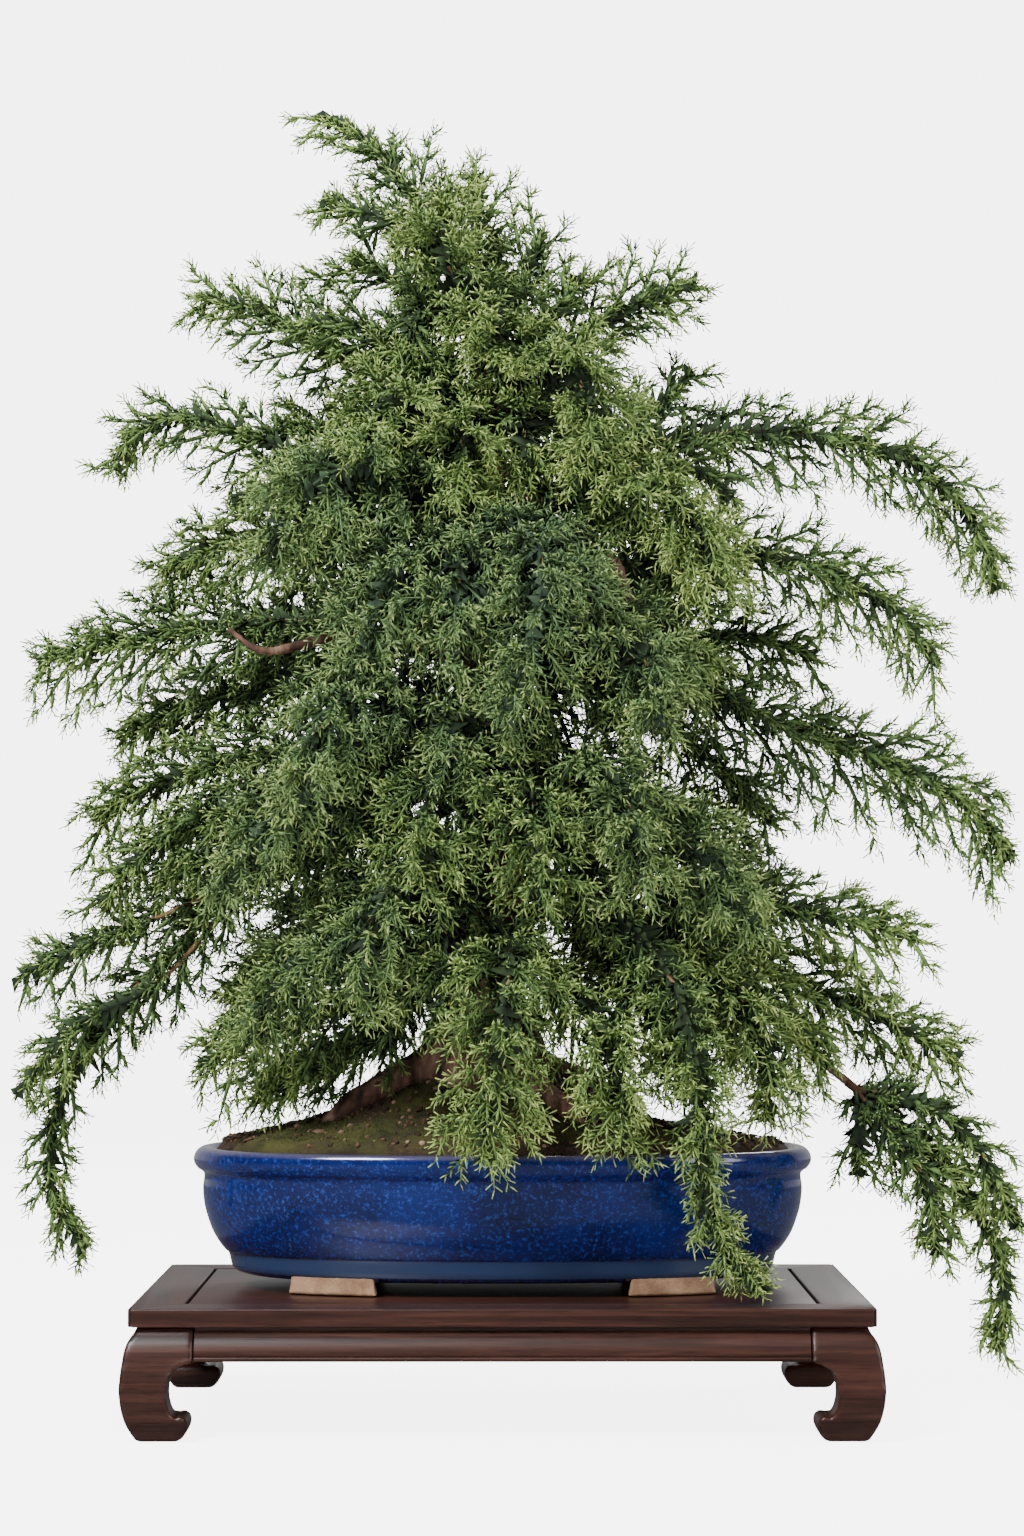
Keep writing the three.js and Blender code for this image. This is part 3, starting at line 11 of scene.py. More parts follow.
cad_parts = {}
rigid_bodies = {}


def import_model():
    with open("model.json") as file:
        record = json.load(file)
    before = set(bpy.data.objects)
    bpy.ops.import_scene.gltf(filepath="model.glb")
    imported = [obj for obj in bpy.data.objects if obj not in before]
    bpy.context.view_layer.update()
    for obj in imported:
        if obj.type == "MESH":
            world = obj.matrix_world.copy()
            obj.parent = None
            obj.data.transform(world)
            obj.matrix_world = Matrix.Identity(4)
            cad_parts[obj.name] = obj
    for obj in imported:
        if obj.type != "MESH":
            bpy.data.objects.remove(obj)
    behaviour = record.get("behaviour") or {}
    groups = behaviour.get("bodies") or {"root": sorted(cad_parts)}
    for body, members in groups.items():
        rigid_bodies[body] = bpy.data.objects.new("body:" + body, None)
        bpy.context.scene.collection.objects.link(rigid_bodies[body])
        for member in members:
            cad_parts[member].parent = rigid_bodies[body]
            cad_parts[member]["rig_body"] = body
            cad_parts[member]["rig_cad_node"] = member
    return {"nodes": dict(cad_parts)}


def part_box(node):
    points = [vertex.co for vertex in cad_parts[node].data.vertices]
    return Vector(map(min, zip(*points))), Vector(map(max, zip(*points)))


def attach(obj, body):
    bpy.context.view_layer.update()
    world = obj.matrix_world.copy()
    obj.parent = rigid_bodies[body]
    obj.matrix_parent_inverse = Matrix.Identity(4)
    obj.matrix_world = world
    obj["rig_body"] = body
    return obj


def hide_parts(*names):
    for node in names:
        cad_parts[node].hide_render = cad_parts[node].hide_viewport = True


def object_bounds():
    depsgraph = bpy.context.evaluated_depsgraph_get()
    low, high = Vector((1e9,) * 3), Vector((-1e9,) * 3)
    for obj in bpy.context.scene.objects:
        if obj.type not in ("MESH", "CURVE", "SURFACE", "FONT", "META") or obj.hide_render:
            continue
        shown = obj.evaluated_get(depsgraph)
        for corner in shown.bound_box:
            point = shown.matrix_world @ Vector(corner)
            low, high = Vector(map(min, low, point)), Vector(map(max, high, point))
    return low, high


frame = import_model()
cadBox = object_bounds()
print("frame loaded, box", cadBox)

# Every place below is measured from the middle of the stand, on the floor. The frame stands a little off that.
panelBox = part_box("stand_panel")
shift = Vector(((panelBox[0][0] + panelBox[1][0]) / 2, (panelBox[0][1] + panelBox[1][1]) / 2, 0))
rng = np.random.default_rng(4350)
near = 1e-5  # places that are closer than this count as one


# Small helpers for objects

def onlyThis(piece):
    bpy.ops.object.select_all(action="DESELECT")
    piece.select_set(True)
    bpy.context.view_layer.objects.active = piece


def editing(piece, mode="VERT"):
    onlyThis(piece)
    bpy.ops.object.mode_set(mode="EDIT")
    bpy.ops.mesh.select_mode(type=mode)


def done():
    bpy.ops.object.mode_set(mode="OBJECT")


def addCube(name, low, high):
    bpy.ops.object.select_all(action="DESELECT")
    middle = [(a + b) / 2 for a, b in zip(low, high)]
    bpy.ops.mesh.primitive_cube_add(size=1, location=middle)
    cube = bpy.context.object
    cube.name = name
    cube.scale = [b - a for a, b in zip(low, high)]
    bpy.ops.object.transform_apply(location=True, rotation=True, scale=True)
    return cube


def applyModifier(piece, kind, **values):
    onlyThis(piece)
    modifier = piece.modifiers.new(kind.lower(), kind)
    for key, value in values.items():
        setattr(modifier, key, value)
    bpy.ops.object.modifier_apply(modifier=modifier.name)


def cutWith(piece, tool, operation, **values):
    applyModifier(piece, "BOOLEAN", operation=operation, object=tool, **values)
    bpy.data.objects.remove(tool)


def smoothByAngle(piece, degrees):
    onlyThis(piece)
    bpy.ops.object.shade_smooth_by_angle(angle=math.radians(degrees))


def roundEdges(piece, offset, segments, test):
    # bevels the edges whose two ends pass the test
    bpy.ops.mesh.select_mode(type="EDGE")
    bpy.ops.mesh.select_all(action="DESELECT")
    mesh = bmesh.from_edit_mesh(piece.data)
    for edge in mesh.edges:
        edge.select = test(edge.verts[0].co, edge.verts[1].co)
    mesh.select_flush_mode()
    bmesh.update_edit_mesh(piece.data)
    bpy.ops.mesh.bevel(offset=offset, segments=segments, profile=0.5, affect="EDGES")


def copyOf(piece, name):
    copy = piece.copy()
    copy.data = piece.data.copy()
    copy.name = name
    bpy.context.collection.objects.link(copy)
    return copy


def linked(name, data):
    piece = bpy.data.objects.new(name, data)
    bpy.context.collection.objects.link(piece)
    return piece


def outwards(piece):
    editing(piece)
    bpy.ops.mesh.select_all(action="SELECT")
    bpy.ops.mesh.remove_doubles(threshold=1e-6)
    bpy.ops.mesh.normals_make_consistent(inside=False)
    done()


def drawnOut(name, section, run):
    # a face through the places of a section, drawn out to a solid
    bpy.ops.object.select_all(action="DESELECT")
    bpy.ops.mesh.primitive_circle_add(vertices=len(section), radius=0.01, fill_type="NGON")
    piece = bpy.context.object
    piece.name = name
    editing(piece)
    mesh = bmesh.from_edit_mesh(piece.data)
    for vert, place in zip(mesh.verts, section):
        vert.co = place
    bmesh.update_edit_mesh(piece.data)
    bpy.ops.mesh.select_all(action="SELECT")
    bpy.ops.mesh.extrude_region_move(TRANSFORM_OT_translate={"value": run})
    done()
    outwards(piece)
    return piece


def join(pieces, name):
    bpy.ops.object.select_all(action="DESELECT")
    for piece in pieces:
        piece.select_set(True)
    bpy.context.view_layer.objects.active = pieces[0]
    bpy.ops.object.join()
    pieces[0].name = name
    return pieces[0]


def settle(piece, material, nodeName):
    # moves a finished piece into the frame's own place, gives it its finish and hides the node it stands for
    piece.data.transform(Matrix.Translation(shift))
    piece.data.materials.clear()
    piece.data.materials.append(material)
    piece.data.name = piece.name
    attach(piece, "root")
    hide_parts(nodeName)


def placesOf(piece):
    places = np.empty(3 * len(piece.data.vertices), np.float32)
    piece.data.vertices.foreach_get("co", places)
    return places.reshape(-1, 3)


def addAttributes(mesh, **attributes):
    # one number a point for each attribute
    for key, values in attributes.items():
        layer = mesh.attributes.new(key, "FLOAT", "POINT")
        layer.data.foreach_set("value", np.asarray(values, np.float32))


def meshFrom(name, points, triangles, **attributes):
    # a mesh from arrays of points and triangles
    mesh = bpy.data.meshes.new(name)
    mesh.vertices.add(len(points))
    mesh.vertices.foreach_set("co", np.asarray(points, np.float32).ravel())
    mesh.loops.add(3 * len(triangles))
    mesh.loops.foreach_set("vertex_index", np.asarray(triangles, np.int32).ravel())
    mesh.polygons.add(len(triangles))
    mesh.polygons.foreach_set("loop_start", np.arange(0, 3 * len(triangles), 3, dtype=np.int32))
    mesh.update(calc_edges=True)
    addAttributes(mesh, **attributes)
    return linked(name, mesh)


def stacked(parts):
    # several pieces of points and triangles as one
    offsets = np.cumsum([0] + [len(points) for points, _ in parts])
    return (np.concatenate([points for points, _ in parts]),
            np.concatenate([triangles + offset for (_, triangles), offset in zip(parts, offsets)]))


def unit(vectors):
    return vectors / np.maximum(np.linalg.norm(vectors, axis=1, keepdims=True), 1e-9)


# Smooth rows of places along given points

def smoothPoint(points, place):
    # a centripetal curve through the points, place running from 0 to 1
    points = [np.array(p, float) for p in points]
    scaled = place * (len(points) - 1)
    index = min(int(scaled), len(points) - 2)
    part = scaled - index
    before = points[index - 1] if index > 0 else 2 * points[0] - points[1]
    after = points[index + 2] if index + 2 < len(points) else 2 * points[-1] - points[-2]
    first, second = points[index], points[index + 1]
    gaps = [max(np.linalg.norm(b[:3] - a[:3]) ** 0.5, 1e-4)
            for a, b in ((before, first), (first, second), (second, after))]
    tangentOne = (first - before) / gaps[0] - (second - before) / (gaps[0] + gaps[1]) + (second - first) / gaps[1]
    tangentTwo = (second - first) / gaps[1] - (after - first) / (gaps[1] + gaps[2]) + (after - second) / gaps[2]
    tangentOne, tangentTwo = tangentOne * gaps[1], tangentTwo * gaps[1]
    cubed, squared = part ** 3, part ** 2
    return ((2 * cubed - 3 * squared + 1) * first + (cubed - 2 * squared + part) * tangentOne
            + (3 * squared - 2 * cubed) * second + (cubed - squared) * tangentTwo)


def smoothRow(points, count):
    return np.array([smoothPoint(points, k / (count - 1)) for k in range(count)])


def smoothPairs(pairs, count):
    return smoothRow([(a, b, 0) for a, b in pairs], count)[:, :2]


def evenRow(points, step):
    # the same curve, at even distances along it
    fine = smoothRow(points, 24 * len(points))
    away = np.concatenate([[0], np.cumsum(np.linalg.norm(np.diff(fine[:, :3], axis=0), axis=1))])
    count = max(int(round(away[-1] / step)), 2) + 1
    wanted = np.linspace(0, away[-1], count)
    return np.stack([np.interp(wanted, away, fine[:, k]) for k in range(fine.shape[1])], axis=1), away[-1]


# Node groups for effects that several finishes share. They put out only colours, masks and heights.

def feed(tree, target, **values):
    # sets a node's own values and sockets by name, and links those that are given a socket
    for key, value in values.items():
        if key not in target.inputs:
            setattr(target, key, value)
        elif isinstance(value, bpy.types.NodeSocket):
            tree.links.new(value, target.inputs[key])
        else:
            target.inputs[key].default_value = value
    return target


def node(tree, kind, **values):
    return feed(tree, tree.nodes.new(kind), **values)


def newGroup(name, inputs, outputs):
    group = bpy.data.node_groups.new(name, "ShaderNodeTree")
    group.interface.new_socket(name="Vector", in_out="INPUT", socket_type="NodeSocketVector")
    for label, value in inputs:
        socket = group.interface.new_socket(name=label, in_out="INPUT", socket_type="NodeSocketFloat")
        socket.default_value = value
    for label in outputs:
        group.interface.new_socket(name=label, in_out="OUTPUT", socket_type="NodeSocketFloat")
    return group, group.nodes.new("NodeGroupInput").outputs, group.nodes.new("NodeGroupOutput")


def ramp(tree, source, stops):
    made = tree.nodes.new("ShaderNodeValToRGB")
    elements = made.color_ramp.elements
    while len(elements) < len(stops):
        elements.new(0.5)
    for element, (place, color) in zip(elements, stops):
        element.position = place
        element.color = (*color, 1)
    tree.links.new(source, made.inputs[0])
    return made.outputs[0]


def mathNode(tree, operation, first, second, clamp=False):
    made = node(tree, "ShaderNodeMath", operation=operation, use_clamp=clamp)
    tree.links.new(first, made.inputs[0])
    if isinstance(second, bpy.types.NodeSocket):
        tree.links.new(second, made.inputs[1])
    else:
        made.inputs[1].default_value = second
    return made.outputs[0]


def mixColor(tree, factor, first, second, blend="MIX"):
    made = node(tree, "ShaderNodeMix", data_type="RGBA", blend_type=blend)
    for socket, value in ((made.inputs[0], factor), (made.inputs[6], first), (made.inputs[7], second)):
        if isinstance(value, bpy.types.NodeSocket):
            tree.links.new(value, socket)
        else:
            socket.default_value = (*value, 1) if isinstance(value, tuple) else value
    return made.outputs[2]


def makeGrainGroup():
    # wood grain that runs along X: broad streaks, fine pores
    group, start, end = newGroup("woodGrain", [("Streaks", 22), ("Stretch", 0.05)], ["Streak", "Pores"])
    squeeze = node(group, "ShaderNodeCombineXYZ", X=start["Stretch"], Y=1, Z=1)
    stretched = node(group, "ShaderNodeVectorMath", operation="MULTIPLY")
    group.links.new(start["Vector"], stretched.inputs[0])
    group.links.new(squeeze.outputs[0], stretched.inputs[1])
    wide = node(group, "ShaderNodeTexNoise", Vector=stretched.outputs[0], Scale=start["Streaks"], Detail=5,
                Roughness=0.62, Distortion=0.5)
    fine = node(group, "ShaderNodeTexNoise", Vector=stretched.outputs[0], Scale=900, Detail=3, Roughness=0.7)
    feed(group, end, Streak=wide.outputs[0], Pores=fine.outputs[0])
    return group


def makeMottleGroup():
    # flecks and clouds for glaze, earth and moss
    group, start, end = newGroup("mottle", [("Cloud Scale", 14), ("Fleck Scale", 420)], ["Cloud", "Fleck"])
    cloud = node(group, "ShaderNodeTexNoise", Vector=start["Vector"], Scale=start["Cloud Scale"], Detail=4,
                 Roughness=0.6)
    fleck = node(group, "ShaderNodeTexNoise", Vector=start["Vector"], Scale=start["Fleck Scale"], Detail=3,
                 Roughness=0.75)
    feed(group, end, Cloud=cloud.outputs[0], Fleck=fleck.outputs[0])
    return group


grainGroup = makeGrainGroup()
mottleGroup = makeMottleGroup()


# Finishes

def newMaterial(name):
    material = bpy.data.materials.new(name)
    material.use_nodes = True
    tree = material.node_tree
    shader = next(n for n in tree.nodes if n.type == "BSDF_PRINCIPLED")
    return material, tree, shader


def attribute(tree, name):
    return node(tree, "ShaderNodeAttribute", attribute_name=name).outputs["Fac"]


def bump(tree, height, strength, distance):
    return node(tree, "ShaderNodeBump", Strength=strength, Distance=distance, Height=height).outputs[0]


def mottled(name, cloudScale, fleckScale, scale=None):
    # a new material with clouds and flecks in the object's own coordinates
    material, tree, shader = newMaterial(name)
    place = node(tree, "ShaderNodeTexCoord").outputs["Object"]
    if scale:
        place = node(tree, "ShaderNodeMapping", Vector=place, Scale=scale).outputs[0]
    mottle = node(tree, "ShaderNodeGroup", node_tree=mottleGroup, Vector=place,
                  **{"Cloud Scale": cloudScale, "Fleck Scale": fleckScale})
    return material, tree, shader, mottle.outputs["Cloud"], mottle.outputs["Fleck"]


def woodMaterial(name, turn, dark, light, top):
    # turn is the turn of the grain about Z
    material, tree, shader = newMaterial(name)
    place = node(tree, "ShaderNodeTexCoord")
    mapping = node(tree, "ShaderNodeMapping", Vector=place.outputs["Object"], Rotation=(0, 0, turn))
    grain = node(tree, "ShaderNodeGroup", node_tree=grainGroup, Vector=mapping.outputs[0], Streaks=130, Stretch=0.035)
    streak, pores = grain.outputs["Streak"], grain.outputs["Pores"]
    tones = ramp(tree, streak, [(0.3, dark), (0.52, light), (0.72, top)])
    shade = ramp(tree, pores, [(0.34, (0.35, 0.33, 0.32)), (0.5, (1, 1, 1))])
    rough = node(tree, "ShaderNodeMapRange", Value=streak, **{"To Min": 0.3, "To Max": 0.46})
    feed(tree, shader, Roughness=rough.outputs[0], Normal=bump(tree, pores, 0.25, 0.0003),
         **{"Base Color": mixColor(tree, 0.7, tones, shade, "MULTIPLY")})
    return material


rosewood = {"dark": (0.014, 0.004, 0.0024), "light": (0.042, 0.013, 0.008), "top": (0.08, 0.027, 0.016)}
woodAlong = woodMaterial("rosewoodAlong", 0, **rosewood)
woodAcross = woodMaterial("rosewoodAcross", math.pi / 2, **rosewood)


def glazeMaterial():
    material, tree, shader, cloud, fleck = mottled("cobaltGlaze", 16, 330)
    blues = ramp(tree, cloud, [(0.3, (0.0025, 0.006, 0.045)), (0.55, (0.0035, 0.011, 0.09)),
                               (0.8, (0.005, 0.018, 0.14))])
    speckled = mixColor(tree, ramp(tree, fleck, [(0.52, (0, 0, 0)), (0.72, (1, 1, 1))]), blues, (0.02, 0.055, 0.3))
    # the glaze thins to violet grey on the lip and to a paler speckled blue on the base band
    thinned = mixColor(tree, attribute(tree, "thin"), speckled, (0.085, 0.075, 0.13))
    pale = mixColor(tree, attribute(tree, "band"), thinned, (0.022, 0.04, 0.1))
    feed(tree, shader, Roughness=0.16, Normal=bump(tree, cloud, 0.35, 0.002),
         **{"Base Color": pale, "Coat Weight": 0.5, "Coat Roughness": 0.06})
    return material


def clayMaterial():
    material, tree, shader, cloud, fleck = mottled("unglazedClay", 60, 900)
    tones = ramp(tree, cloud, [(0.35, (0.25, 0.14, 0.08)), (0.65, (0.46, 0.29, 0.17))])
    grit = ramp(tree, fleck, [(0.4, (0.6, 0.55, 0.5)), (0.6, (1, 1, 1))])
    feed(tree, shader, Roughness=0.85, Normal=bump(tree, fleck, 0.4, 0.0004),
         **{"Base Color": mixColor(tree, 0.6, tones, grit, "MULTIPLY")})
    return material


def barkMaterial():
    material, tree, shader, cloud, fleck = mottled("juniperBark", 90, 700, scale=(1, 1, 0.16))
    tones = ramp(tree, cloud, [(0.3, (0.03, 0.014, 0.01)), (0.48, (0.11, 0.052, 0.034)),
                               (0.62, (0.23, 0.125, 0.085)), (0.78, (0.36, 0.24, 0.18))])
    # the grooves between the bark strips are painted darker, as shade
    shade = ramp(tree, attribute(tree, "relief"), [(0.25, (0.22, 0.2, 0.2)), (0.7, (1, 1, 1))])
    feed(tree, shader, Roughness=0.82, Normal=bump(tree, fleck, 0.5, 0.0006),
         **{"Base Color": mixColor(tree, 0.85, tones, shade, "MULTIPLY")})
    return material


def juniperMaterial():
    # how fresh a point is runs from old dark leaves to yellow-green tips, with painted shade and painted light added;
    # woody runs from needle to brown twig
    material, tree, shader, cloud, _ = mottled("juniperLeaves", 25, 260)
    jitter = mathNode(tree, "MULTIPLY", mathNode(tree, "SUBTRACT", cloud, 0.5), 0.5)
    age = mathNode(tree, "ADD", attribute(tree, "fresh"), jitter, clamp=True)
    green = ramp(tree, age, [(0, (0.005, 0.009, 0.003)), (0.3, (0.03, 0.058, 0.016)), (0.55, (0.095, 0.172, 0.045)),
                             (0.8, (0.24, 0.36, 0.088)), (1, (0.47, 0.58, 0.17))])
    bloomed = mixColor(tree, attribute(tree, "blue"), green, (0.13, 0.22, 0.15))
    woody = attribute(tree, "woody")
    stems = ramp(tree, woody, [(0.1, (0.2, 0.3, 0.07)), (0.5, (0.27, 0.2, 0.08)), (1, (0.13, 0.06, 0.035))])
    dull = node(tree, "ShaderNodeMapRange", Value=age, **{"To Min": 0.95, "To Max": 0.4})
    isStem = mathNode(tree, "GREATER_THAN", woody, 0.05)
    feed(tree, shader, Roughness=dull.outputs[0],
         **{"Base Color": mixColor(tree, isStem, bloomed, stems), "Specular IOR Level": 0.35})
    return material


def earthMaterial():
    material, tree, shader, cloud, fleck = mottled("pottingEarth", 40, 500)
    tones = ramp(tree, fleck, [(0.35, (0.012, 0.006, 0.0035)), (0.55, (0.042, 0.022, 0.011)),
                               (0.7, (0.1, 0.053, 0.028))])
    green = ramp(tree, cloud, [(0.35, (0.014, 0.014, 0.003)), (0.6, (0.055, 0.055, 0.008))])
    feed(tree, shader, Roughness=0.95, Normal=bump(tree, fleck, 0.6, 0.001),
         **{"Base Color": mixColor(tree, attribute(tree, "mossy"), tones, green)})
    return material


def toneMaterial(name, stops, roughness):
    # a matt finish whose tone is drawn for each small piece
    material, tree, shader, cloud, _ = mottled(name, 300, 1500)
    shade = ramp(tree, cloud, [(0.3, (0.6, 0.6, 0.6)), (0.7, (1, 1, 1))])
    color = mixColor(tree, 0.7, ramp(tree, attribute(tree, "tone"), stops), shade, "MULTIPLY")
    feed(tree, shader, Roughness=roughness, **{"Base Color": color})
    return material


glaze = glazeMaterial()
clay = clayMaterial()
bark = barkMaterial()
leaves = juniperMaterial()
earth = earthMaterial()
mossGreen = toneMaterial("mossFibres", [
    (0, (0.018, 0.02, 0.004)), (0.45, (0.06, 0.066, 0.009)), (0.8, (0.16, 0.15, 0.02)), (1, (0.13, 0.07, 0.02))], 0.85)
gritBrown = toneMaterial("gritGrains", [
    (0, (0.016, 0.008, 0.005)), (0.4, (0.06, 0.028, 0.014)), (0.75, (0.16, 0.085, 0.045)),
    (1, (0.32, 0.23, 0.15))], 0.9)
meshPlastic, plasticTree, plasticShader = newMaterial("drainMesh")
feed(plasticTree, plasticShader, Roughness=0.6, **{"Base Color": (0.012, 0.012, 0.013, 1)})
print("finishes made")


# The stand: a mitred frame round a loose panel, four aprons and four hoof legs

standValues = {
    "long": 0.526, "deep": 0.345, "top": 0.0935, "under": 0.0805, "rail": 0.037, "mitreGap": 0.00025,
    "corner": 0.004, "bevel": 0.0012, "innerBevel": 0.0009, "smooth": 35,
    # whether a side runs across the depth, on which side of the middle it lies, and how its rail is turned there
    "sides": {"back": (False, 1, 0), "front": (False, -1, -math.pi), "right": (True, 1, math.pi / 2),
              "left": (True, -1, -math.pi / 2)},
}


def makeRail(name, sideways, turn):
    # one mitred rail: a cube in edit mode with its ends drawn in at 45 degrees
    v = standValues
    run, outer = (v["deep"] / 2, v["long"] / 2) if sideways else (v["long"] / 2, v["deep"] / 2)
    inner = outer - v["rail"]
    rail = addCube(name, (-run, inner, v["under"]), (run, outer, v["top"]))
    editing(rail)
    mesh = bmesh.from_edit_mesh(rail.data)
    for vert in mesh.verts:
        if vert.co.y < outer - v["rail"] / 2:
            vert.co.x -= math.copysign(v["rail"], vert.co.x)
        vert.co.x -= math.copysign(v["mitreGap"], vert.co.x)
    bmesh.update_edit_mesh(rail.data)
    # the outer corners, then the edges along the outside, then the one along the panel
    roundEdges(rail, v["corner"], 6, lambda a, b: abs(a.z - b.z) > 0.01 and a.y > outer - near)
    roundEdges(rail, v["bevel"], 4,
               lambda a, b: abs(a.z - b.z) < 1e-6 and (a.y + b.y) / 2 > outer - v["corner"] * 1.01)
    roundEdges(rail, v["innerBevel"], 3, lambda a, b: min(a.z, b.z) > v["top"] - near and max(a.y, b.y) < inner + near)
    bpy.ops.mesh.select_all(action="SELECT")
    bpy.ops.transform.rotate(value=turn, orient_axis="Z", center_override=(0, 0, 0))
    done()
    smoothByAngle(rail, v["smooth"])
    return rail


for side, (sideways, _, turn) in standValues["sides"].items():
    rail = makeRail("standRail" + side.title(), sideways, turn)
    settle(rail, woodAcross if sideways else woodAlong, "stand_rail_" + side)

panelValues = {"thick": 0.0085, "endGroove": 0.0022, "sideGroove": 0.0008, "sunk": 0.0003, "bevel": 0.0008}


def makePanel():
    v, top, rail = panelValues, standValues["top"], standValues["rail"]
    halfX = standValues["long"] / 2 - rail - v["endGroove"]
    halfY = standValues["deep"] / 2 - rail - v["sideGroove"]
    panel = addCube("standPanel", (-halfX, -halfY, top - v["thick"]), (halfX, halfY, top - v["sunk"]))
    editing(panel)
    roundEdges(panel, v["bevel"], 3, lambda a, b: min(a.z, b.z) > top - 0.002)
    done()
    smoothByAngle(panel, standValues["smooth"])
    return panel


settle(makePanel(), woodAlong, "stand_panel")

apronValues = {
    "back": 0.016, "low": 0.057, "high": 0.0805, "smooth": 30,
    # inset from the slab's edge, then height, in mm: the waist, the bulge and the bead along the foot of the apron
    "face": [(5.2, 80.5), (5.35, 79.2), (5.6, 77.9), (5.3, 77.2), (4.1, 75.6), (2.2, 74), (0.6, 71.8), (-0.9, 69),
             (-2, 66), (-2.6, 63), (-2.75, 61.3), (-2.6, 60.7), (-2.1, 60.5), (-2.7, 60.3), (-3.5, 59.8),
             (-3.9, 59), (-3.95, 58.3), (-3.7, 57.6), (-3, 57)],
}


def makeApron(name, nodeName, sideways, sign):
    # the section of the long face, drawn out between the leg blocks
    v = apronValues
    outer = standValues["long" if sideways else "deep"] / 2
    low, high = (Vector(c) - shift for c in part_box(nodeName))
    start, end = (low.y, high.y) if sideways else (low.x, high.x)
    section = [(outer - inset / 1000, z / 1000) for inset, z in v["face"]]
    section += [(outer - v["back"], v["low"]), (outer - v["back"], v["high"])]
    if sideways:
        apron = drawnOut(name, [(across * sign, start, z) for across, z in section], (0, end - start, 0))
    else:
        apron = drawnOut(name, [(start, across * sign, z) for across, z in section], (end - start, 0, 0))
    smoothByAngle(apron, v["smooth"])
    return apron


for side, (sideways, sign, _) in standValues["sides"].items():
    nodeName = "stand_apron_" + side
    apron = makeApron("standApron" + side.title(), nodeName, sideways, sign)
    settle(apron, woodAcross if sideways else woodAlong, nodeName)

legValues = {
    "deep": 0.07, "before": 0.01, "voxel": 0.0014, "soften": 5, "smooth": 50,
    # the bead is sunk a little into the leg, and both are remeshed to one surface
    "beadRadius": 0.0011, "beadSides": 8, "beadSunk": 0.0002, "allVoxel": 0.0018, "allSoften": 2, "kept": 0.5,
    # how far the outer line stands inside the slab's edge and where the inner line runs, both in mm, then height
    "outer": [(5.2, 80.5), (5.6, 77.5), (2.2, 74), (-0.9, 69), (-2.6, 63), (-3.6, 57), (-4.6, 50), (-5.5, 42),
              (-5.6, 34), (-4.4, 24), (-1.8, 14), (2.2, 6), (5.9, 0)],
    "inner": [(35, 0), (39.5, 4), (42.6, 11.6), (41, 17), (37, 19), (33.4, 17.4), (30.2, 21), (27.6, 34), (29.6, 45),
              (35, 52), (46.6, 57), (46.6, 80.5)],
    "bead": [(46.6, 57.6), (40, 55.4), (34.5, 52.6), (31, 49), (28.9, 44.5), (27.6, 39), (27.6, 33)],
}


def makeLeg():
    # the corner of the slab is at the origin, the leg lies towards +X and +Y of it
    v = legValues
    # the side view, the outer line down and the inner line up, as a plate; the waist and the block stay sharp
    section = [*v["outer"][:3], *smoothPairs(v["outer"][3:], 34), *smoothPairs(v["inner"][:11], 60), v["inner"][11]]
    places = [(across / 1000, -v["before"], max(height, 0) / 1000) for across, height in section]
    leg = drawnOut("standLeg", places, (0, v["deep"], 0))
    # the same plate seen from the end of the stand, and the leg where the two meet
    second = copyOf(leg, "legAcross")
    for vert in second.data.vertices:
        vert.co = vert.co.yxz
    outwards(second)
    cutWith(leg, second, "INTERSECT", solver="EXACT")
    applyModifier(leg, "REMESH", mode="VOXEL", voxel_size=v["voxel"])
    applyModifier(leg, "SMOOTH", factor=0.5, iterations=v["soften"])
    return leg


def beadLines():
    # the raised bead that follows the curl of a leg on both outer faces
    v = legValues
    outline = [(-a / 1000, b / 1000) for a, b in v["outer"]][::-1]
    line = []
    for a, z in smoothPairs(v["bead"], 30) / 1000:
        stand = np.interp(z, [b for _, b in outline], [out for out, _ in outline])
        line.append(Vector((a, -stand + v["beadSunk"], z)))
    return line, [point.yxz for point in line]


def beadTube(name, points):
    sides = legValues["beadSides"]
    ring, faces = [], []
    for index, point in enumerate(points):
        ahead = (points[min(index + 1, len(points) - 1)] - points[max(index - 1, 0)]).normalized()
        first = (first - ahead * first.dot(ahead) if index else ahead.orthogonal()).normalized()
        second = ahead.cross(first)
        for k in range(sides):
            angle = 2 * math.pi * k / sides
            ring.append(point + (first * math.cos(angle) + second * math.sin(angle)) * legValues["beadRadius"])
    for start in range(0, len(ring) - sides, sides):
        for k in range(sides):
            a, b = start + k, start + (k + 1) % sides
            faces.append((a, b, b + sides, a + sides))
    faces.append(tuple(range(sides))[::-1])
    faces.append(tuple(range(len(ring) - sides, len(ring))))
    mesh = bpy.data.meshes.new(name)
    mesh.from_pydata([tuple(p) for p in ring], [], faces)
    return linked(name, mesh)


def makeLegModel():
    v = legValues
    leg = makeLeg()
    print("leg of", len(leg.data.polygons), "faces")
    beads = [beadTube("legBead" + str(k), points) for k, points in enumerate(beadLines())]
    model = join([leg] + beads, "standLegModel")
    applyModifier(model, "REMESH", mode="VOXEL", voxel_size=v["allVoxel"])
    applyModifier(model, "SMOOTH", factor=0.5, iterations=v["allSoften"])
    applyModifier(model, "DECIMATE", ratio=v["kept"])
    return model


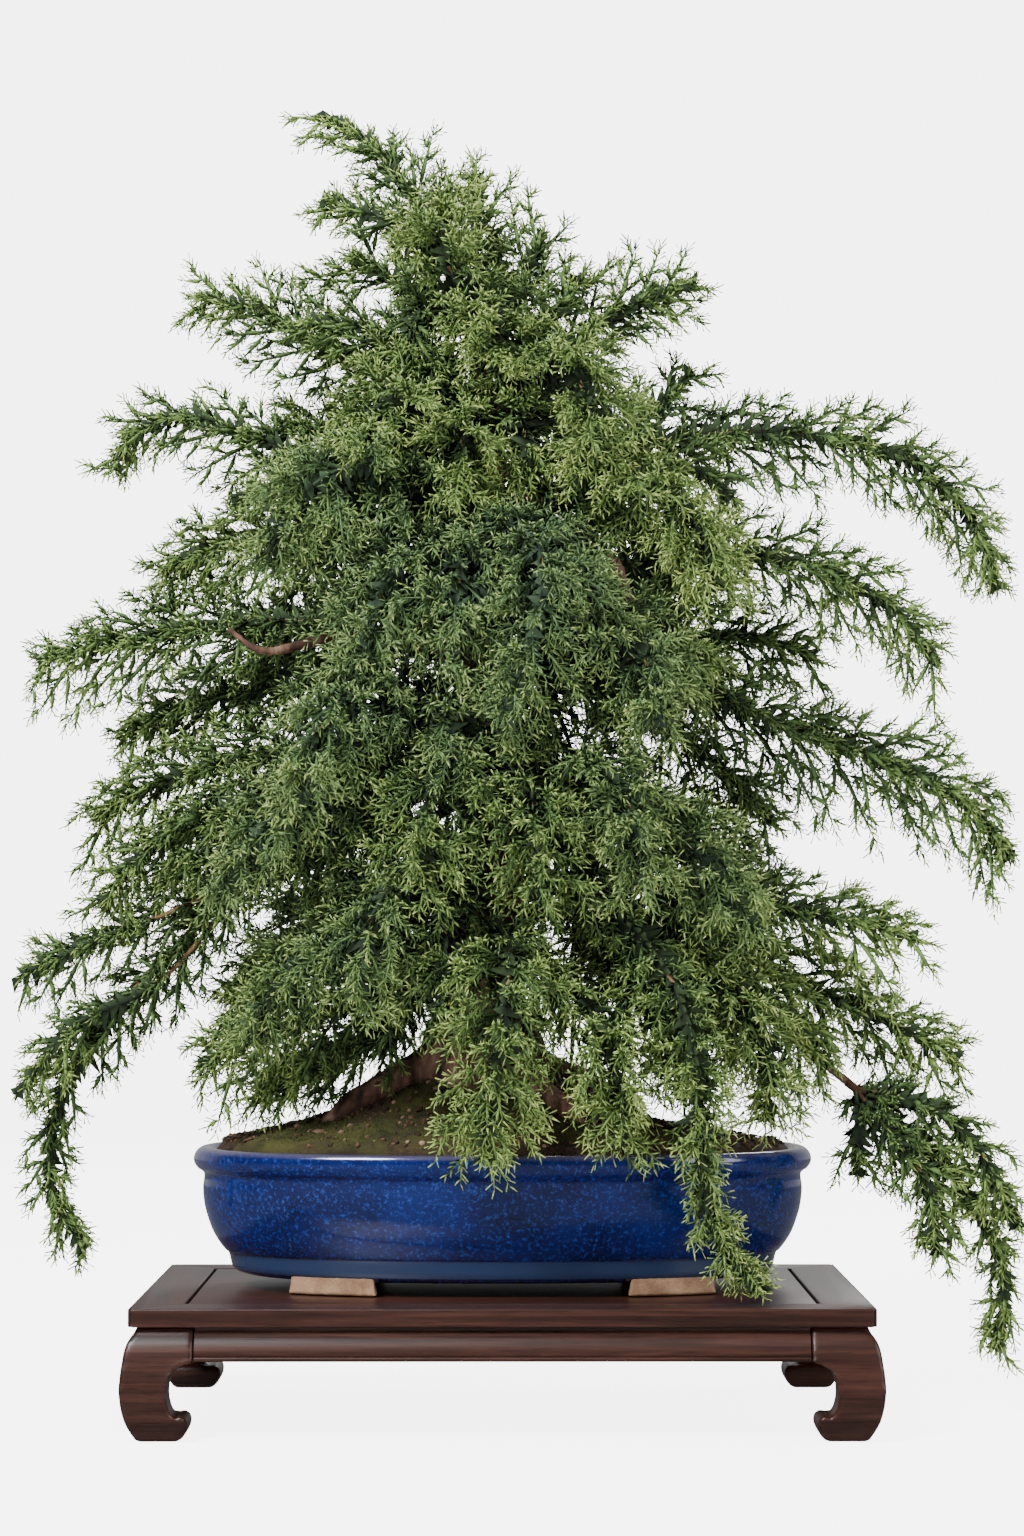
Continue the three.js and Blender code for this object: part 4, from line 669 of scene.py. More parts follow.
legModel = makeLegModel()
for depthName, ySign in (("front", -1), ("back", 1)):
    for sideName, xSign in (("left", -1), ("right", 1)):
        leg = copyOf(legModel, "standLeg" + depthName.title() + sideName.title())
        # the model's corner is the front left one, so the others are mirrored
        leg.data.transform(Matrix.Translation((-standValues["long"] / 2, -standValues["deep"] / 2, 0)))
        if xSign > 0 or ySign > 0:
            leg.data.transform(Matrix.Diagonal((-xSign, -ySign, 1, 1)))
            if xSign * ySign < 0:
                leg.data.flip_normals()
        smoothByAngle(leg, legValues["smooth"])
        settle(leg, woodAlong, "stand_leg_" + depthName + "_" + sideName)
bpy.data.objects.remove(legModel)
print("stand done")


# The pot: one profile carried round a rounded oval, with a rolled lip and a paler base band

potValues = {
    # the oval's depth for each unit of its length, between the base and the rim
    "shiftY": 0.003, "power": 2.3, "around": 144, "baseDepth": 0.51, "rimDepth": 0.585, "base": 0.1055, "rim": 0.1975,
    # half length and height of the profile, in mm
    "outside": [(176, 103.2), (190, 103.6), (196, 105), (199, 106.2), (200.8, 107.5), (202.4, 110.5), (203.2, 114),
                (204.4, 118.5), (205.4, 120.2), (206.8, 121), (212, 127.5), (216.4, 135), (219.5, 143), (222.2, 152),
                (223.5, 160), (223.9, 168), (223, 175), (223.2, 178), (225, 180.2), (227.8, 182), (230, 185),
                (230.9, 188.2), (230.3, 191.6), (228.6, 194.6), (226, 196.7), (223, 197.5), (220, 197.4),
                (217.4, 196.4), (215.6, 194.4)],
    "inside": [(214.6, 192.5), (214.2, 186), (213.6, 174), (212, 162), (208.6, 147), (204, 132), (198, 122),
               (190, 116)],
    "drain": 0.012, "drainX": 0.09, "smooth": 40,
    # where the glaze is thin: up the lip, and round its lower roll at the two ends
    "thinLip": (0.1935, 0.003, 0.75), "thinRoll": (0.1812, 0.002, 0.5), "ends": (0.9, 0.1), "halfLong": 0.23,
    "band": (0.1205, 0.0012), "outer": 0.2005,
}


def ovalUnit(count):
    # the oval at half length 1 and full depth
    angles = np.arange(count) * 2 * math.pi / count
    return [np.sign(turned) * np.abs(turned) ** (2 / potValues["power"]) for turned in (np.cos(angles), np.sin(angles))]


def depthRatio(height):
    v = potValues
    return np.interp(height, [v["base"], v["rim"]], [v["baseDepth"], v["rimDepth"]])


def ovalReach(x, y, height):
    # how far out a place lies, as the half length of the oval that passes through it
    power = potValues["power"]
    return (np.abs(x) ** power + (np.abs(y - potValues["shiftY"]) / depthRatio(height)) ** power) ** (1 / power)


def ovalRing(half, height, count):
    across, deep = ovalUnit(count)
    return np.stack([across * half, deep * half * depthRatio(height) + potValues["shiftY"], np.full(count, height)],
                    axis=1)


def makePot():
    v = potValues
    profile = np.concatenate([smoothPairs(v["outside"], 96), smoothPairs(v["inside"], 16)]) / 1000
    # a spun circle, ring by ring, so that each ring can be drawn out to the oval
    bpy.ops.object.select_all(action="DESELECT")
    bpy.ops.mesh.primitive_circle_add(vertices=v["around"], radius=0.1, fill_type="NOTHING")
    pot = bpy.context.object
    pot.name = "potBody"
    editing(pot, "EDGE")
    for _ in range(len(profile) - 1):
        bpy.ops.mesh.extrude_edges_move(TRANSFORM_OT_translate={"value": (0, 0, 0.001)})
    done()
    own = placesOf(pot)
    rings = np.rint(own[:, 2] / 0.001).astype(int)
    steps = np.rint(np.arctan2(own[:, 1], own[:, 0]) / (2 * math.pi) * v["around"]).astype(int) % v["around"]
    table = np.array([ovalRing(half, height, v["around"]) for half, height in profile])
    pot.data.vertices.foreach_set("co", table[rings, steps].astype(np.float32).ravel())
    # the sunk underside and the floor of the pot inside
    editing(pot, "EDGE")
    for wanted in (profile[0][1], profile[-1][1]):
        mesh = bmesh.from_edit_mesh(pot.data)
        for edge in mesh.edges:
            edge.select = bool(edge.is_boundary and abs(edge.verts[0].co.z - wanted) < near)
        mesh.select_flush_mode()
        bmesh.update_edit_mesh(pot.data)
        bpy.ops.mesh.edge_face_add()
    bpy.ops.mesh.select_all(action="SELECT")
    bpy.ops.mesh.normals_make_consistent(inside=False)
    done()
    # two drainage holes
    for side in (-1, 1):
        bpy.ops.object.select_all(action="DESELECT")
        bpy.ops.mesh.primitive_cylinder_add(vertices=40, radius=v["drain"], depth=0.06,
                                            location=(side * v["drainX"], v["shiftY"], 0.11))
        cutWith(pot, bpy.context.object, "DIFFERENCE")
    return pot


def markPot(pot):
    # how thin the glaze is at each place, and which places lie on the base band
    v = potValues
    x, y, z = placesOf(pot).astype(float).T
    lip, lipRun, lipThin = v["thinLip"]
    roll, rollRun, rollThin = v["thinRoll"]
    ends = np.clip((np.abs(x) / v["halfLong"] - v["ends"][0]) / v["ends"][1], 0, 1)
    onLip, onRoll = np.clip((z - lip) / lipRun, 0, 1), np.clip((z - roll) / rollRun, 0, 1)
    thin = np.maximum(onLip * lipThin, onRoll * ends * rollThin)
    band = np.clip((v["band"][0] - z) / v["band"][1], 0, 1) * (ovalReach(x, y, z) > v["outer"])
    addAttributes(pot.data, thin=thin, band=band)


pot = makePot()
markPot(pot)
smoothByAngle(pot, potValues["smooth"])
settle(pot, glaze, "pot")

footValues = {
    "x": (0.093, 0.154), "deep": 0.024, "low": 0.0937, "high": 0.1085, "outer": 0.1995, "flare": 0.0022, "cuts": 7,
    "voxel": 0.0019, "soften": 3, "kept": 0.45, "smooth": 50,
}


def makeFeet():
    # four low feet, each a rounded block cut to the oval's line and a little waisted
    v, power = footValues, potValues["power"]
    feet = []
    for ySign in (-1, 1):
        for xSign in (-1, 1):
            foot = addCube("foot", (0, 0, v["low"]), (1, 1, v["high"]))
            editing(foot)
            bpy.ops.mesh.select_all(action="SELECT")
            bpy.ops.mesh.subdivide(number_cuts=v["cuts"])
            done()
            for vert in foot.data.vertices:
                along, deep, height = vert.co
                flare = v["flare"] * (1 - (height - v["low"]) / (v["high"] - v["low"])) ** 2
                x = v["x"][0] + (v["x"][1] - v["x"][0]) * along + flare * (2 * along - 1)
                half = v["outer"] + flare
                edge = half * depthRatio(v["high"]) * (1 - (x / half) ** power) ** (1 / power)
                y = edge - v["deep"] * (1 - deep)
                vert.co = (x * xSign, potValues["shiftY"] + y * ySign, height)
            outwards(foot)
            applyModifier(foot, "REMESH", mode="VOXEL", voxel_size=v["voxel"])
            applyModifier(foot, "SMOOTH", factor=0.5, iterations=v["soften"])
            applyModifier(foot, "DECIMATE", ratio=v["kept"])
            feet.append(foot)
    return join(feet, "potFeet")


feet = makeFeet()
smoothByAngle(feet, footValues["smooth"])
settle(feet, clay, "pot")
for nodeName in ("drain_mesh_left", "drain_mesh_right"):
    meshNode = frame["nodes"][nodeName]
    meshNode.data.materials[0] = meshPlastic
    print(nodeName, "keeps its own form,", len(meshNode.data.polygons), "faces")
print("pot done")


# The soil: a mound that fills the pot, then loose grains and moss on it

soilValues = {
    "edge": 0.2135, "level": 0.199, "rise": 0.055, "start": 0.04, "reach": 0.082, "depthScale": 1.5,
    "middleX": -0.015, "middleY": 0.003, "dip": 0.003, "dipStart": 0.012, "around": 128, "rings": 64,
    # relief of the earth: how many lumps a metre, and how high
    "rough": (130, 0.0016), "grainy": (520, 0.0008), "mossyAbove": 0.19,
    "wall": [(0.2128, 0.1935), (0.2124, 0.186), (0.2118, 0.174), (0.2102, 0.162), (0.2068, 0.147),
             (0.2022, 0.132), (0.196, 0.1225), (0.188, 0.1172)],
    # moss cushions: middle, reach and height of each
    "cushions": [(-0.15, -0.06, 0.045, 0.003), (-0.1, -0.085, 0.04, 0.0035), (-0.04, -0.09, 0.035, 0.003),
                 (0.056, -0.092, 0.024, 0.008), (-0.06, -0.05, 0.03, 0.003), (0.12, -0.07, 0.03, 0.003),
                 (0.01, -0.06, 0.026, 0.003), (-0.17, -0.01, 0.03, 0.002), (0.15, 0.03, 0.04, 0.003),
                 (0.06, 0.07, 0.05, 0.003), (-0.08, 0.08, 0.045, 0.003), (-0.14, 0.05, 0.035, 0.002)],
    "cushionDepth": 1.25,
}


def soilHeight(x, y):
    v = soilValues
    away = np.hypot(x - v["middleX"], (y - v["middleY"]) * v["depthScale"])
    mound = v["rise"] * np.exp(-(np.maximum(away - v["start"], 0) / v["reach"]) ** 1.5)
    inward = np.clip((v["edge"] - ovalReach(x, y, potValues["rim"])) / v["dipStart"], 0, 1)
    return v["level"] + mound * np.clip(inward * 2, 0, 1) - v["dip"] * (1 - inward) ** 2


def overCushions(x, y, value):
    # the largest of the values that the cushions have at each place, by how far from their middle it lies
    largest = np.zeros_like(x)
    for middleX, middleY, reach, high in soilValues["cushions"]:
        away = np.hypot(x - middleX, (y - middleY) * soilValues["cushionDepth"]) / reach
        largest = np.maximum(largest, value(away, high))
    return largest


def mossAmount(x, y):
    # 0 on bare earth, 1 in the middle of a cushion
    return overCushions(x, y, lambda away, _: np.clip(1.35 - away, 0, 1))


def mossAt(x, y):
    return float(mossAmount(np.array([x]), np.array([y]))[0])


def cushionHeight(x, y):
    return overCushions(x, y, lambda away, high: high * np.clip(1 - away ** 2, 0, 1) ** 0.7)


def makeSoil():
    v, count = soilValues, soilValues["around"]
    unitX, unitY = ovalUnit(count)
    rows = []
    for k in range(1, v["rings"] + 1):
        half = v["edge"] * (k / v["rings"])
        x, y = unitX * half, unitY * half * potValues["rimDepth"] + potValues["shiftY"]
        rows.append(np.stack([x, y, soilHeight(x, y) + cushionHeight(x, y)], axis=1))
    top = np.concatenate(rows)
    for index in range(len(top) - count):
        x, y, _ = top[index]
        (roughStep, rough), (grainStep, grainy) = v["rough"], v["grainy"]
        top[index, 2] += (noise.fractal(Vector((x * roughStep, y * roughStep, 3.1)), 1, 2, 4) * rough
                          + noise.noise(Vector((x * grainStep, y * grainStep, 7.7))) * grainy)
    wall = [ovalRing(half, height, count) for half, height in v["wall"]]
    middles = [[0, potValues["shiftY"], float(top[:count, 2].mean())], [0, potValues["shiftY"], v["wall"][-1][1]]]
    points = np.concatenate([top, *wall, middles])
    triangles = []
    last = (v["rings"] + len(wall) - 1) * count
    for start in range(0, last, count):
        for k in range(count):
            a, b = start + k, start + (k + 1) % count
            triangles += [(a, a + count, b), (b, a + count, b + count)]
    for k in range(count):
        following = (k + 1) % count
        triangles += [(last + count, k, following), (last + count + 1, last + following, last + k)]
    mossy = np.clip(mossAmount(points[:, 0], points[:, 1]) * 1.4, 0, 1)
    mossy[points[:, 2] < v["mossyAbove"]] = 0
    soil = meshFrom("soilMound", points, triangles, mossy=mossy)
    outwards(soil)
    onlyThis(soil)
    bpy.ops.object.shade_smooth()
    return soil


soil = makeSoil()
soilTree = BVHTree.FromPolygons(placesOf(soil).tolist(), [tuple(face.vertices) for face in soil.data.polygons])


def onSoil(x, y):
    hit = soilTree.ray_cast(Vector((x, y, 0.4)), Vector((0, 0, -1)))
    return hit[0], hit[1]


def modelCoordinates(piece):
    # a model's places and triangles, for copies made as arrays; the model itself is removed
    points = placesOf(piece)
    triangles = [(face.vertices[0], face.vertices[k], face.vertices[k + 1])
                 for face in piece.data.polygons for k in range(1, len(face.vertices) - 1)]
    bpy.data.objects.remove(piece)
    return points, np.array(triangles)


bpy.ops.object.select_all(action="DESELECT")
bpy.ops.mesh.primitive_ico_sphere_add(subdivisions=1, radius=0.5, location=(0, 0, 0))
grainModel = modelCoordinates(bpy.context.object)

looseValues = {
    "x": (-0.209, 0.209), "y": (-0.121, 0.127),
    # grains and chips: how many, their sizes, how flat and deep they lie, and how much moss keeps them away
    "grains": {"count": 1850, "sizes": (0.0018, 0.0042), "flat": 0.85, "sink": 0.15, "bare": 1.05, "moss": 0.85},
    "chips": {"count": 220, "sizes": (0.005, 0.009), "flat": 0.22, "sink": 0.5, "bare": 1.0, "moss": 0.7},
    "within": 0.2085,
}


def scatter(model, look):
    # copies of a small model turned at random and pressed a little into the soil
    points, triangles = model
    made, faces, tones = [], [], []
    tries = 0
    while len(made) < look["count"] and tries < look["count"] * 12:
        tries += 1
        x, y = rng.uniform(*looseValues["x"]), rng.uniform(*looseValues["y"])
        if (ovalReach(x, y, potValues["rim"]) > looseValues["within"]
                or rng.random() > look["bare"] - look["moss"] * mossAt(x, y)):
            continue
        place, normal = onSoil(x, y)
        if place is None:
            continue
        size = rng.uniform(*look["sizes"]) * (1 + 0.6 * rng.random() ** 3)
        stretch = np.array([rng.uniform(0.8, 1.3), rng.uniform(0.7, 1.1), look["flat"] * rng.uniform(0.75, 1.2)])
        dented = points * (1 + rng.uniform(-0.22, 0.22, (len(points), 1)))
        turn = np.array(Matrix.Rotation(rng.uniform(0, 6.28), 3, "Z"))
        lean = np.array(normal.to_track_quat("Z", "X").to_matrix())
        tip = np.array(Matrix.Rotation(rng.uniform(-0.5, 0.5), 3, "X"))
        own = (dented * stretch * size) @ tip.T @ turn.T @ lean.T
        faces.append(triangles + len(made) * len(points))
        made.append(own + (np.array(place) + np.array(normal) * size * look["flat"] * look["sink"]))
        tones.append(np.full(len(points), np.clip(rng.normal(0.45, 0.25), 0, 1)))
    return np.concatenate(made), np.concatenate(faces), np.concatenate(tones)


grainPoints, grainFaces, grainTones = scatter(grainModel, looseValues["grains"])
chipPoints, chipFaces, chipTones = scatter(grainModel, looseValues["chips"])
grains = meshFrom("soilGrains", np.concatenate([grainPoints, chipPoints]),
                  np.concatenate([grainFaces, chipFaces + len(grainPoints)]),
                  tone=np.concatenate([grainTones, chipTones * 0.8]))

mossValues = {
    "count": 10500, "within": 0.209, "patches": 60, "lean": 0.35, "sunk": 0.0008, "long": (0.0022, 0.0046),
    "half": 0.00042, "footShade": 0.45,
}


def makeMoss():
    # each fibre is a leaning three-sided spike, set thickest in the middle of a cushion
    v = mossValues
    starts, ups, longs, tones = [], [], [], []
    tries = 0
    while len(starts) < v["count"] and tries < v["count"] * 10:
        tries += 1
        x, y = rng.uniform(*looseValues["x"]), rng.uniform(*looseValues["y"])
        amount = mossAt(x, y)
        patch = 0.5 + 0.5 * noise.noise(Vector((x * v["patches"], y * v["patches"], 1.7)))
        if ovalReach(x, y, potValues["rim"]) > v["within"] or rng.random() > amount * (0.4 + patch) + 0.02:
            continue
        place, normal = onSoil(x, y)
        if place is None:
            continue
        lean = np.array(normal) + rng.normal(0, v["lean"], 3)
        starts.append(np.array(place) - np.array(normal) * v["sunk"])
        ups.append(lean / np.linalg.norm(lean))
        longs.append(rng.uniform(*v["long"]) * (0.6 + 0.5 * amount))
        tones.append(np.clip(0.15 + 0.55 * patch + rng.normal(0, 0.16), 0, 1))
    starts, ups, longs, tones = map(np.array, (starts, ups, longs, tones))
    side = np.cross(ups, rng.normal(0, 1, (len(ups), 3)))
    side /= np.linalg.norm(side, axis=1, keepdims=True)
    other = np.cross(ups, side)
    half = v["half"]
    corners = np.stack([starts + side * half, starts - side * half * 0.5 + other * half * 0.87,
                        starts - side * half * 0.5 - other * half * 0.87, starts + ups * longs[:, None]], axis=1)
    own = np.array([(0, 1, 3), (1, 2, 3), (2, 0, 3), (0, 2, 1)])
    triangles = (own[None] + 4 * np.arange(len(starts))[:, None, None]).reshape(-1, 3)
    shades = np.repeat(tones[:, None], 4, axis=1)
    shades[:, :3] *= v["footShade"]
    return meshFrom("moss", corners.reshape(-1, 3), triangles, tone=shades.ravel())


moss = makeMoss()
settle(soil, earth, "soil")
settle(grains, gritBrown, "soil")
settle(moss, mossGreen, "soil")
print("soil done:", len(grains.data.polygons), "grain faces,", len(moss.data.polygons), "moss faces")


# Routes of the trunk, its roots and stubs, and of every leafy stem, all in mm


def inMetres(points):
    return [tuple(number / 1000 for number in point) for point in points]


def limbs(rows):
    return [{"thick": thick / 1000, "thin": thin / 1000, "points": inMetres(points)} for thick, thin, points in rows]


trunkLine = inMetres([  # x, y, z and radius
    (-15, 0, 212, 38), (-15, 0, 244, 50), (-15, 0, 268, 48), (-15, 0, 288, 40), (-15, 0, 312, 33), (-13, 3, 350, 28),
    (-8, 5, 410, 25), (-12, 0, 480, 22), (-20, -5, 550, 19), (-20, -3, 620, 16), (-12, 2, 690, 13), (-14, 3, 750, 10),
    (-21, 0, 806, 7), (-34, -2, 846, 5)])
surfaceRoots = limbs([  # thickness at the start and at the end, then points
    (17, 6, [(-40, -8, 262), (-72, -18, 250), (-104, -28, 234), (-132, -36, 214)]),
    (14, 5, [(2, -22, 256), (26, -42, 242), (48, -60, 226), (62, -72, 206)]),
    (15, 5, [(12, 10, 260), (46, 16, 250), (82, 26, 232), (108, 34, 212)]),
    (14, 5, [(-24, 24, 258), (-36, 46, 246), (-52, 68, 228), (-60, 82, 206)])])
bareStubs = limbs([  # thickness at the start and at the end, then points
    (9, 3, [(-20, -4, 590), (-70, -40, 578), (-130, -70, 572), (-176, -92, 562), (-200, -98, 578)]),
    (7, 3, [(-10, 0, 640), (40, -22, 656), (78, -50, 638), (98, -58, 590), (112, -60, 540)])])
# for each spray the wood that leads to it, then its stems, each with the reach of the shoots on it
sprayRoutes = {
    "crown_leader": ([(-33, -2, 840), (-38, -3, 852)], [
        (42, [(-52, -4, 880), (-72, -6, 916), (-98, -6, 950), (-137, -4, 978)]),
        (32, [(-66, -22, 878), (-98, -28, 894), (-136, -28, 906)]),
        (42, [(-24, 10, 878), (-20, 12, 904), (-24, 8, 932)])]),
    "crown_right": ([(-22, 0, 812), (-6, -2, 820)], [
        (42, [(8, -8, 836), (20, -10, 858), (30, -8, 884)])]),
    "crown_left": ([(-26, -2, 822), (-42, -8, 826)], [
        (52, [(-62, -10, 834), (-88, -12, 852), (-114, -14, 862)]),
        (44, [(-58, -34, 824), (-68, -54, 808), (-70, -62, 780)])]),
    "crown_front": ([(-22, -2, 808), (-24, -18, 816)], [
        (50, [(-34, -38, 836), (-44, -56, 866), (-48, -62, 906)]),
        (50, [(-14, -54, 822), (-4, -82, 802), (0, -92, 764)])]),
    "crown_back": ([(-20, 2, 802), (-22, 18, 814)], [
        (50, [(-14, 40, 836), (-6, 58, 862), (-6, 66, 900)])]),
    "upper_left": ([(-17, 3, 762), (-40, -2, 768)], [
        (50, [(-90, -8, 784), (-138, -12, 798), (-182, -16, 824), (-229, -18, 836)]),
        (56, [(-72, 12, 742), (-116, 16, 734), (-166, 12, 744)]),
        (44, [(-68, -34, 790), (-106, -44, 806), (-148, -46, 810)])]),
    "upper_right": ([(-15, 3, 756), (10, -2, 766)], [
        (42, [(50, -8, 796), (98, -14, 828), (145, -16, 846)]),
        (40, [(20, -22, 796), (42, -26, 824), (60, -26, 848)])]),
    "upper_front_right": ([(-14, 0, 738), (0, -18, 752)], [
        (58, [(24, -58, 782), (48, -96, 772), (64, -118, 730), (68, -124, 684)]),
        (46, [(10, -56, 744), (16, -84, 724), (18, -94, 688)])]),
    "upper_front_left": ([(-14, 0, 724), (-28, -18, 736)], [
        (58, [(-54, -58, 756), (-86, -92, 744), (-112, -106, 706)]),
        (54, [(-26, -56, 738), (-30, -92, 716), (-26, -104, 672)]),
        (40, [(-44, -44, 762), (-52, -52, 788)])]),
    "upper_back": ([(-14, 6, 730), (-14, 28, 742)], [
        (60, [(-52, 62, 764), (-92, 94, 764), (-124, 114, 732)]),
        (60, [(24, 60, 764), (60, 88, 758), (90, 108, 722)])]),
    "second_left": ([(-12, 2, 690), (-52, -3, 696)], [
        (40, [(-120, -10, 704), (-184, -14, 728), (-236, -16, 744), (-272, -18, 734), (-292, -18, 704)]),
        (44, [(-106, -34, 682), (-156, -40, 688), (-202, -40, 680)])]),
    "second_right": ([(-11, 3, 700), (30, -2, 710), (84, -6, 722)], [
        (46, [(156, -8, 732), (226, -10, 732), (296, -12, 716), (350, -12, 670), (371, -10, 614)]),
        (44, [(104, 8, 746), (126, 14, 764), (144, 16, 784)]),
        (42, [(110, -28, 710), (146, -36, 700), (176, -36, 676)])]),
    "second_front_left": ([(-12, -2, 656), (-34, -20, 670)], [
        (60, [(-76, -72, 694), (-118, -108, 692), (-154, -124, 662), (-170, -128, 622)])]),
    "second_front_right": ([(-12, -2, 658), (8, -28, 680), (34, -50, 676)], [
        (56, [(72, -86, 688), (110, -112, 682), (142, -122, 648), (154, -126, 602)])]),
    "second_back_left": ([(-12, 4, 672), (-34, 24, 684)], [
        (62, [(-80, 72, 700), (-126, 108, 688), (-164, 128, 644)])]),
    "second_back_right": ([(-12, 6, 664), (14, 26, 678)], [
        (62, [(58, 74, 694), (102, 108, 680), (138, 126, 632)])]),
    "front_column": ([(-19, -8, 616), (-10, -36, 630)], [
        (54, [(12, -96, 650), (28, -134, 624), (22, -152, 572), (0, -158, 508)]),
        (56, [(-54, -92, 636), (-86, -126, 604), (-98, -142, 552)]),
        (54, [(-24, -84, 640), (-32, -122, 606), (-36, -140, 548)]),
        (50, [(30, -78, 634), (58, -112, 612), (72, -126, 568)])]),
    "middle_left": ([(-20, -2, 620), (-58, -6, 630)], [
        (54, [(-118, -12, 646), (-174, -14, 652), (-222, -16, 644), (-254, -18, 628)])]),
    "middle_far_left": ([(-22, -4, 560), (-84, -10, 574)], [
        (54, [(-156, -16, 590), (-228, -20, 586), (-290, -22, 574), (-347, -24, 560)]),
        (50, [(-146, 14, 546), (-206, 22, 538), (-252, 22, 526), (-290, 20, 502)])]),
    "middle_right": ([(-18, 0, 600), (40, -2, 612)], [
        (52, [(104, 2, 634), (170, 0, 643), (232, -4, 634), (290, -8, 603), (327, -10, 560)]),
        (56, [(84, -22, 598), (122, -34, 588), (152, -40, 560)])]),
    "middle_right_front": ([(-17, -6, 552), (22, -36, 570)], [
        (56, [(72, -96, 578), (102, -128, 552), (114, -142, 504)]),
        (52, [(28, -66, 552), (30, -84, 528), (24, -96, 498)]),
        (46, [(52, -68, 568), (74, -84, 540), (84, -92, 504)])]),
    "middle_back_left": ([(-20, 4, 596), (-50, 36, 606)], [
        (64, [(-108, 88, 614), (-166, 124, 590), (-208, 142, 538)])]),
    "middle_back": ([(-20, 6, 612), (-18, 38, 624)], [
        (62, [(-16, 94, 634), (-16, 136, 606), (-16, 160, 552)])]),
    "middle_back_right": ([(-18, 4, 584), (14, 36, 596)], [
        (64, [(76, 88, 612), (130, 124, 588), (172, 142, 534)])]),
    "lower_left": ([(-12, -2, 466), (-64, -6, 480)], [
        (56, [(-134, -14, 490), (-204, -18, 484), (-262, -20, 466), (-306, -20, 442)]),
        (56, [(-124, 18, 446), (-194, 26, 428), (-262, 26, 394)]),
        (52, [(-140, -52, 458), (-208, -58, 446), (-272, -58, 410), (-294, -58, 374)])]),
    "lower_left_front": ([(-14, -8, 492), (-46, -44, 516)], [
        (56, [(-94, -106, 536), (-130, -138, 504), (-146, -152, 448)]),
        (54, [(-108, -84, 476), (-164, -110, 440), (-204, -120, 386)]),
        (52, [(-48, -82, 532), (-40, -112, 514), (-28, -124, 472)])]),
    "lower_front_centre": ([(-11, -10, 452), (-16, -46, 474)], [
        (54, [(-40, -108, 482), (-54, -142, 446), (-58, -158, 394)]),
        (54, [(14, -108, 472), (24, -142, 432), (22, -158, 380)])]),
    "lower_front_right": ([(-9, -8, 430), (26, -40, 452)], [
        (56, [(66, -104, 478), (92, -140, 446), (100, -156, 392)]),
        (54, [(92, -72, 440), (144, -104, 412), (182, -116, 356)]),
        (46, [(48, -76, 424), (60, -94, 400), (62, -100, 366)])]),
    "lower_right": ([(-15, 0, 516), (38, -2, 540), (96, -4, 552)], [
        (60, [(160, -6, 534), (226, -8, 508), (296, -10, 484), (350, -12, 452), (380, -12, 412)]),
        (50, [(122, 18, 516), (164, 26, 484), (204, 26, 442)]),
        (48, [(132, 34, 574), (188, 40, 584), (238, 36, 568)])]),
    "lower_back_left": ([(-12, 6, 458), (-50, 44, 478)], [
        (66, [(-114, 102, 490), (-176, 140, 462), (-224, 158, 404)])]),
    "lower_back": ([(-11, 8, 482), (-6, 48, 500)], [
        (64, [(0, 112, 506), (4, 154, 472), (6, 176, 414)])]),
    "lower_back_right": ([(-9, 6, 432), (44, 44, 452)], [
        (66, [(108, 100, 462), (164, 138, 430), (210, 156, 372)])]),
    "left_cascade": ([(-12, -4, 414), (-66, -16, 436), (-126, -24, 434), (-178, -30, 408)], [
        (36, [(-234, -36, 354), (-289, -40, 295), (-328, -42, 228), (-332, -42, 168), (-308, -42, 123)]),
        (36, [(-236, -46, 376), (-300, -52, 350), (-361, -54, 322)]),
        (32, [(-256, -46, 318), (-314, -64, 288), (-356, -70, 238)])]),
    "skirt_left": ([(-14, -6, 336), (-54, -18, 342)], [
        (54, [(-108, -14, 352), (-158, -14, 340), (-206, -14, 310)]),
        (50, [(-104, -52, 308), (-162, -62, 288), (-222, -62, 262)]),
        (52, [(-72, 2, 298), (-120, 8, 270), (-182, 8, 246)]),
        (42, [(-84, -32, 286), (-132, -40, 260), (-180, -40, 236)])]),
    "skirt_front_left": ([(-13, -10, 376), (-34, -44, 396)], [
        (54, [(-68, -108, 400), (-94, -142, 366), (-104, -156, 310)]),
        (52, [(-96, -84, 364), (-150, -110, 334), (-184, -118, 286)]),
        (50, [(-72, -68, 424), (-118, -78, 426), (-166, -82, 398)]),
        (46, [(-38, -82, 384), (-42, -112, 346), (-46, -126, 296)])]),
    "skirt_front_centre": ([(-14, -14, 322), (-4, -50, 342)], [
        (54, [(4, -106, 352), (4, -142, 320), (-4, -158, 262), (-14, -162, 198)]),
        (52, [(40, -98, 324), (70, -130, 290), (84, -148, 244), (88, -154, 206)])]),
    "front_cascade": ([(-10, -10, 364), (48, -50, 376)], [
        (34, [(96, -108, 358), (130, -142, 300), (140, -156, 236), (142, -160, 172), (160, -158, 132),
            (186, -156, 104)]),
        (52, [(118, -60, 350), (168, -84, 316), (192, -92, 262), (192, -94, 222)]),
        (52, [(84, -44, 330), (114, -52, 290), (134, -56, 236)])]),
    "right_cascade": ([(-11, 0, 384), (60, -4, 390), (124, -10, 352), (190, -16, 302), (256, -22, 246)], [
        (36, [(315, -26, 197), (354, -28, 148), (371, -28, 98), (364, -28, 49)]),
        (34, [(312, -44, 230), (352, -48, 196), (378, -48, 140)]),
        (34, [(286, -48, 210), (312, -54, 172), (318, -54, 122)]),
        (32, [(264, -36, 216), (262, -38, 178)])]),
    "right_fan": ([(60, -4, 390), (108, 4, 392)], [
        (50, [(178, 6, 384), (244, 0, 370), (310, -8, 354)]),
        (48, [(150, -34, 346), (202, -44, 306), (240, -46, 258)]),
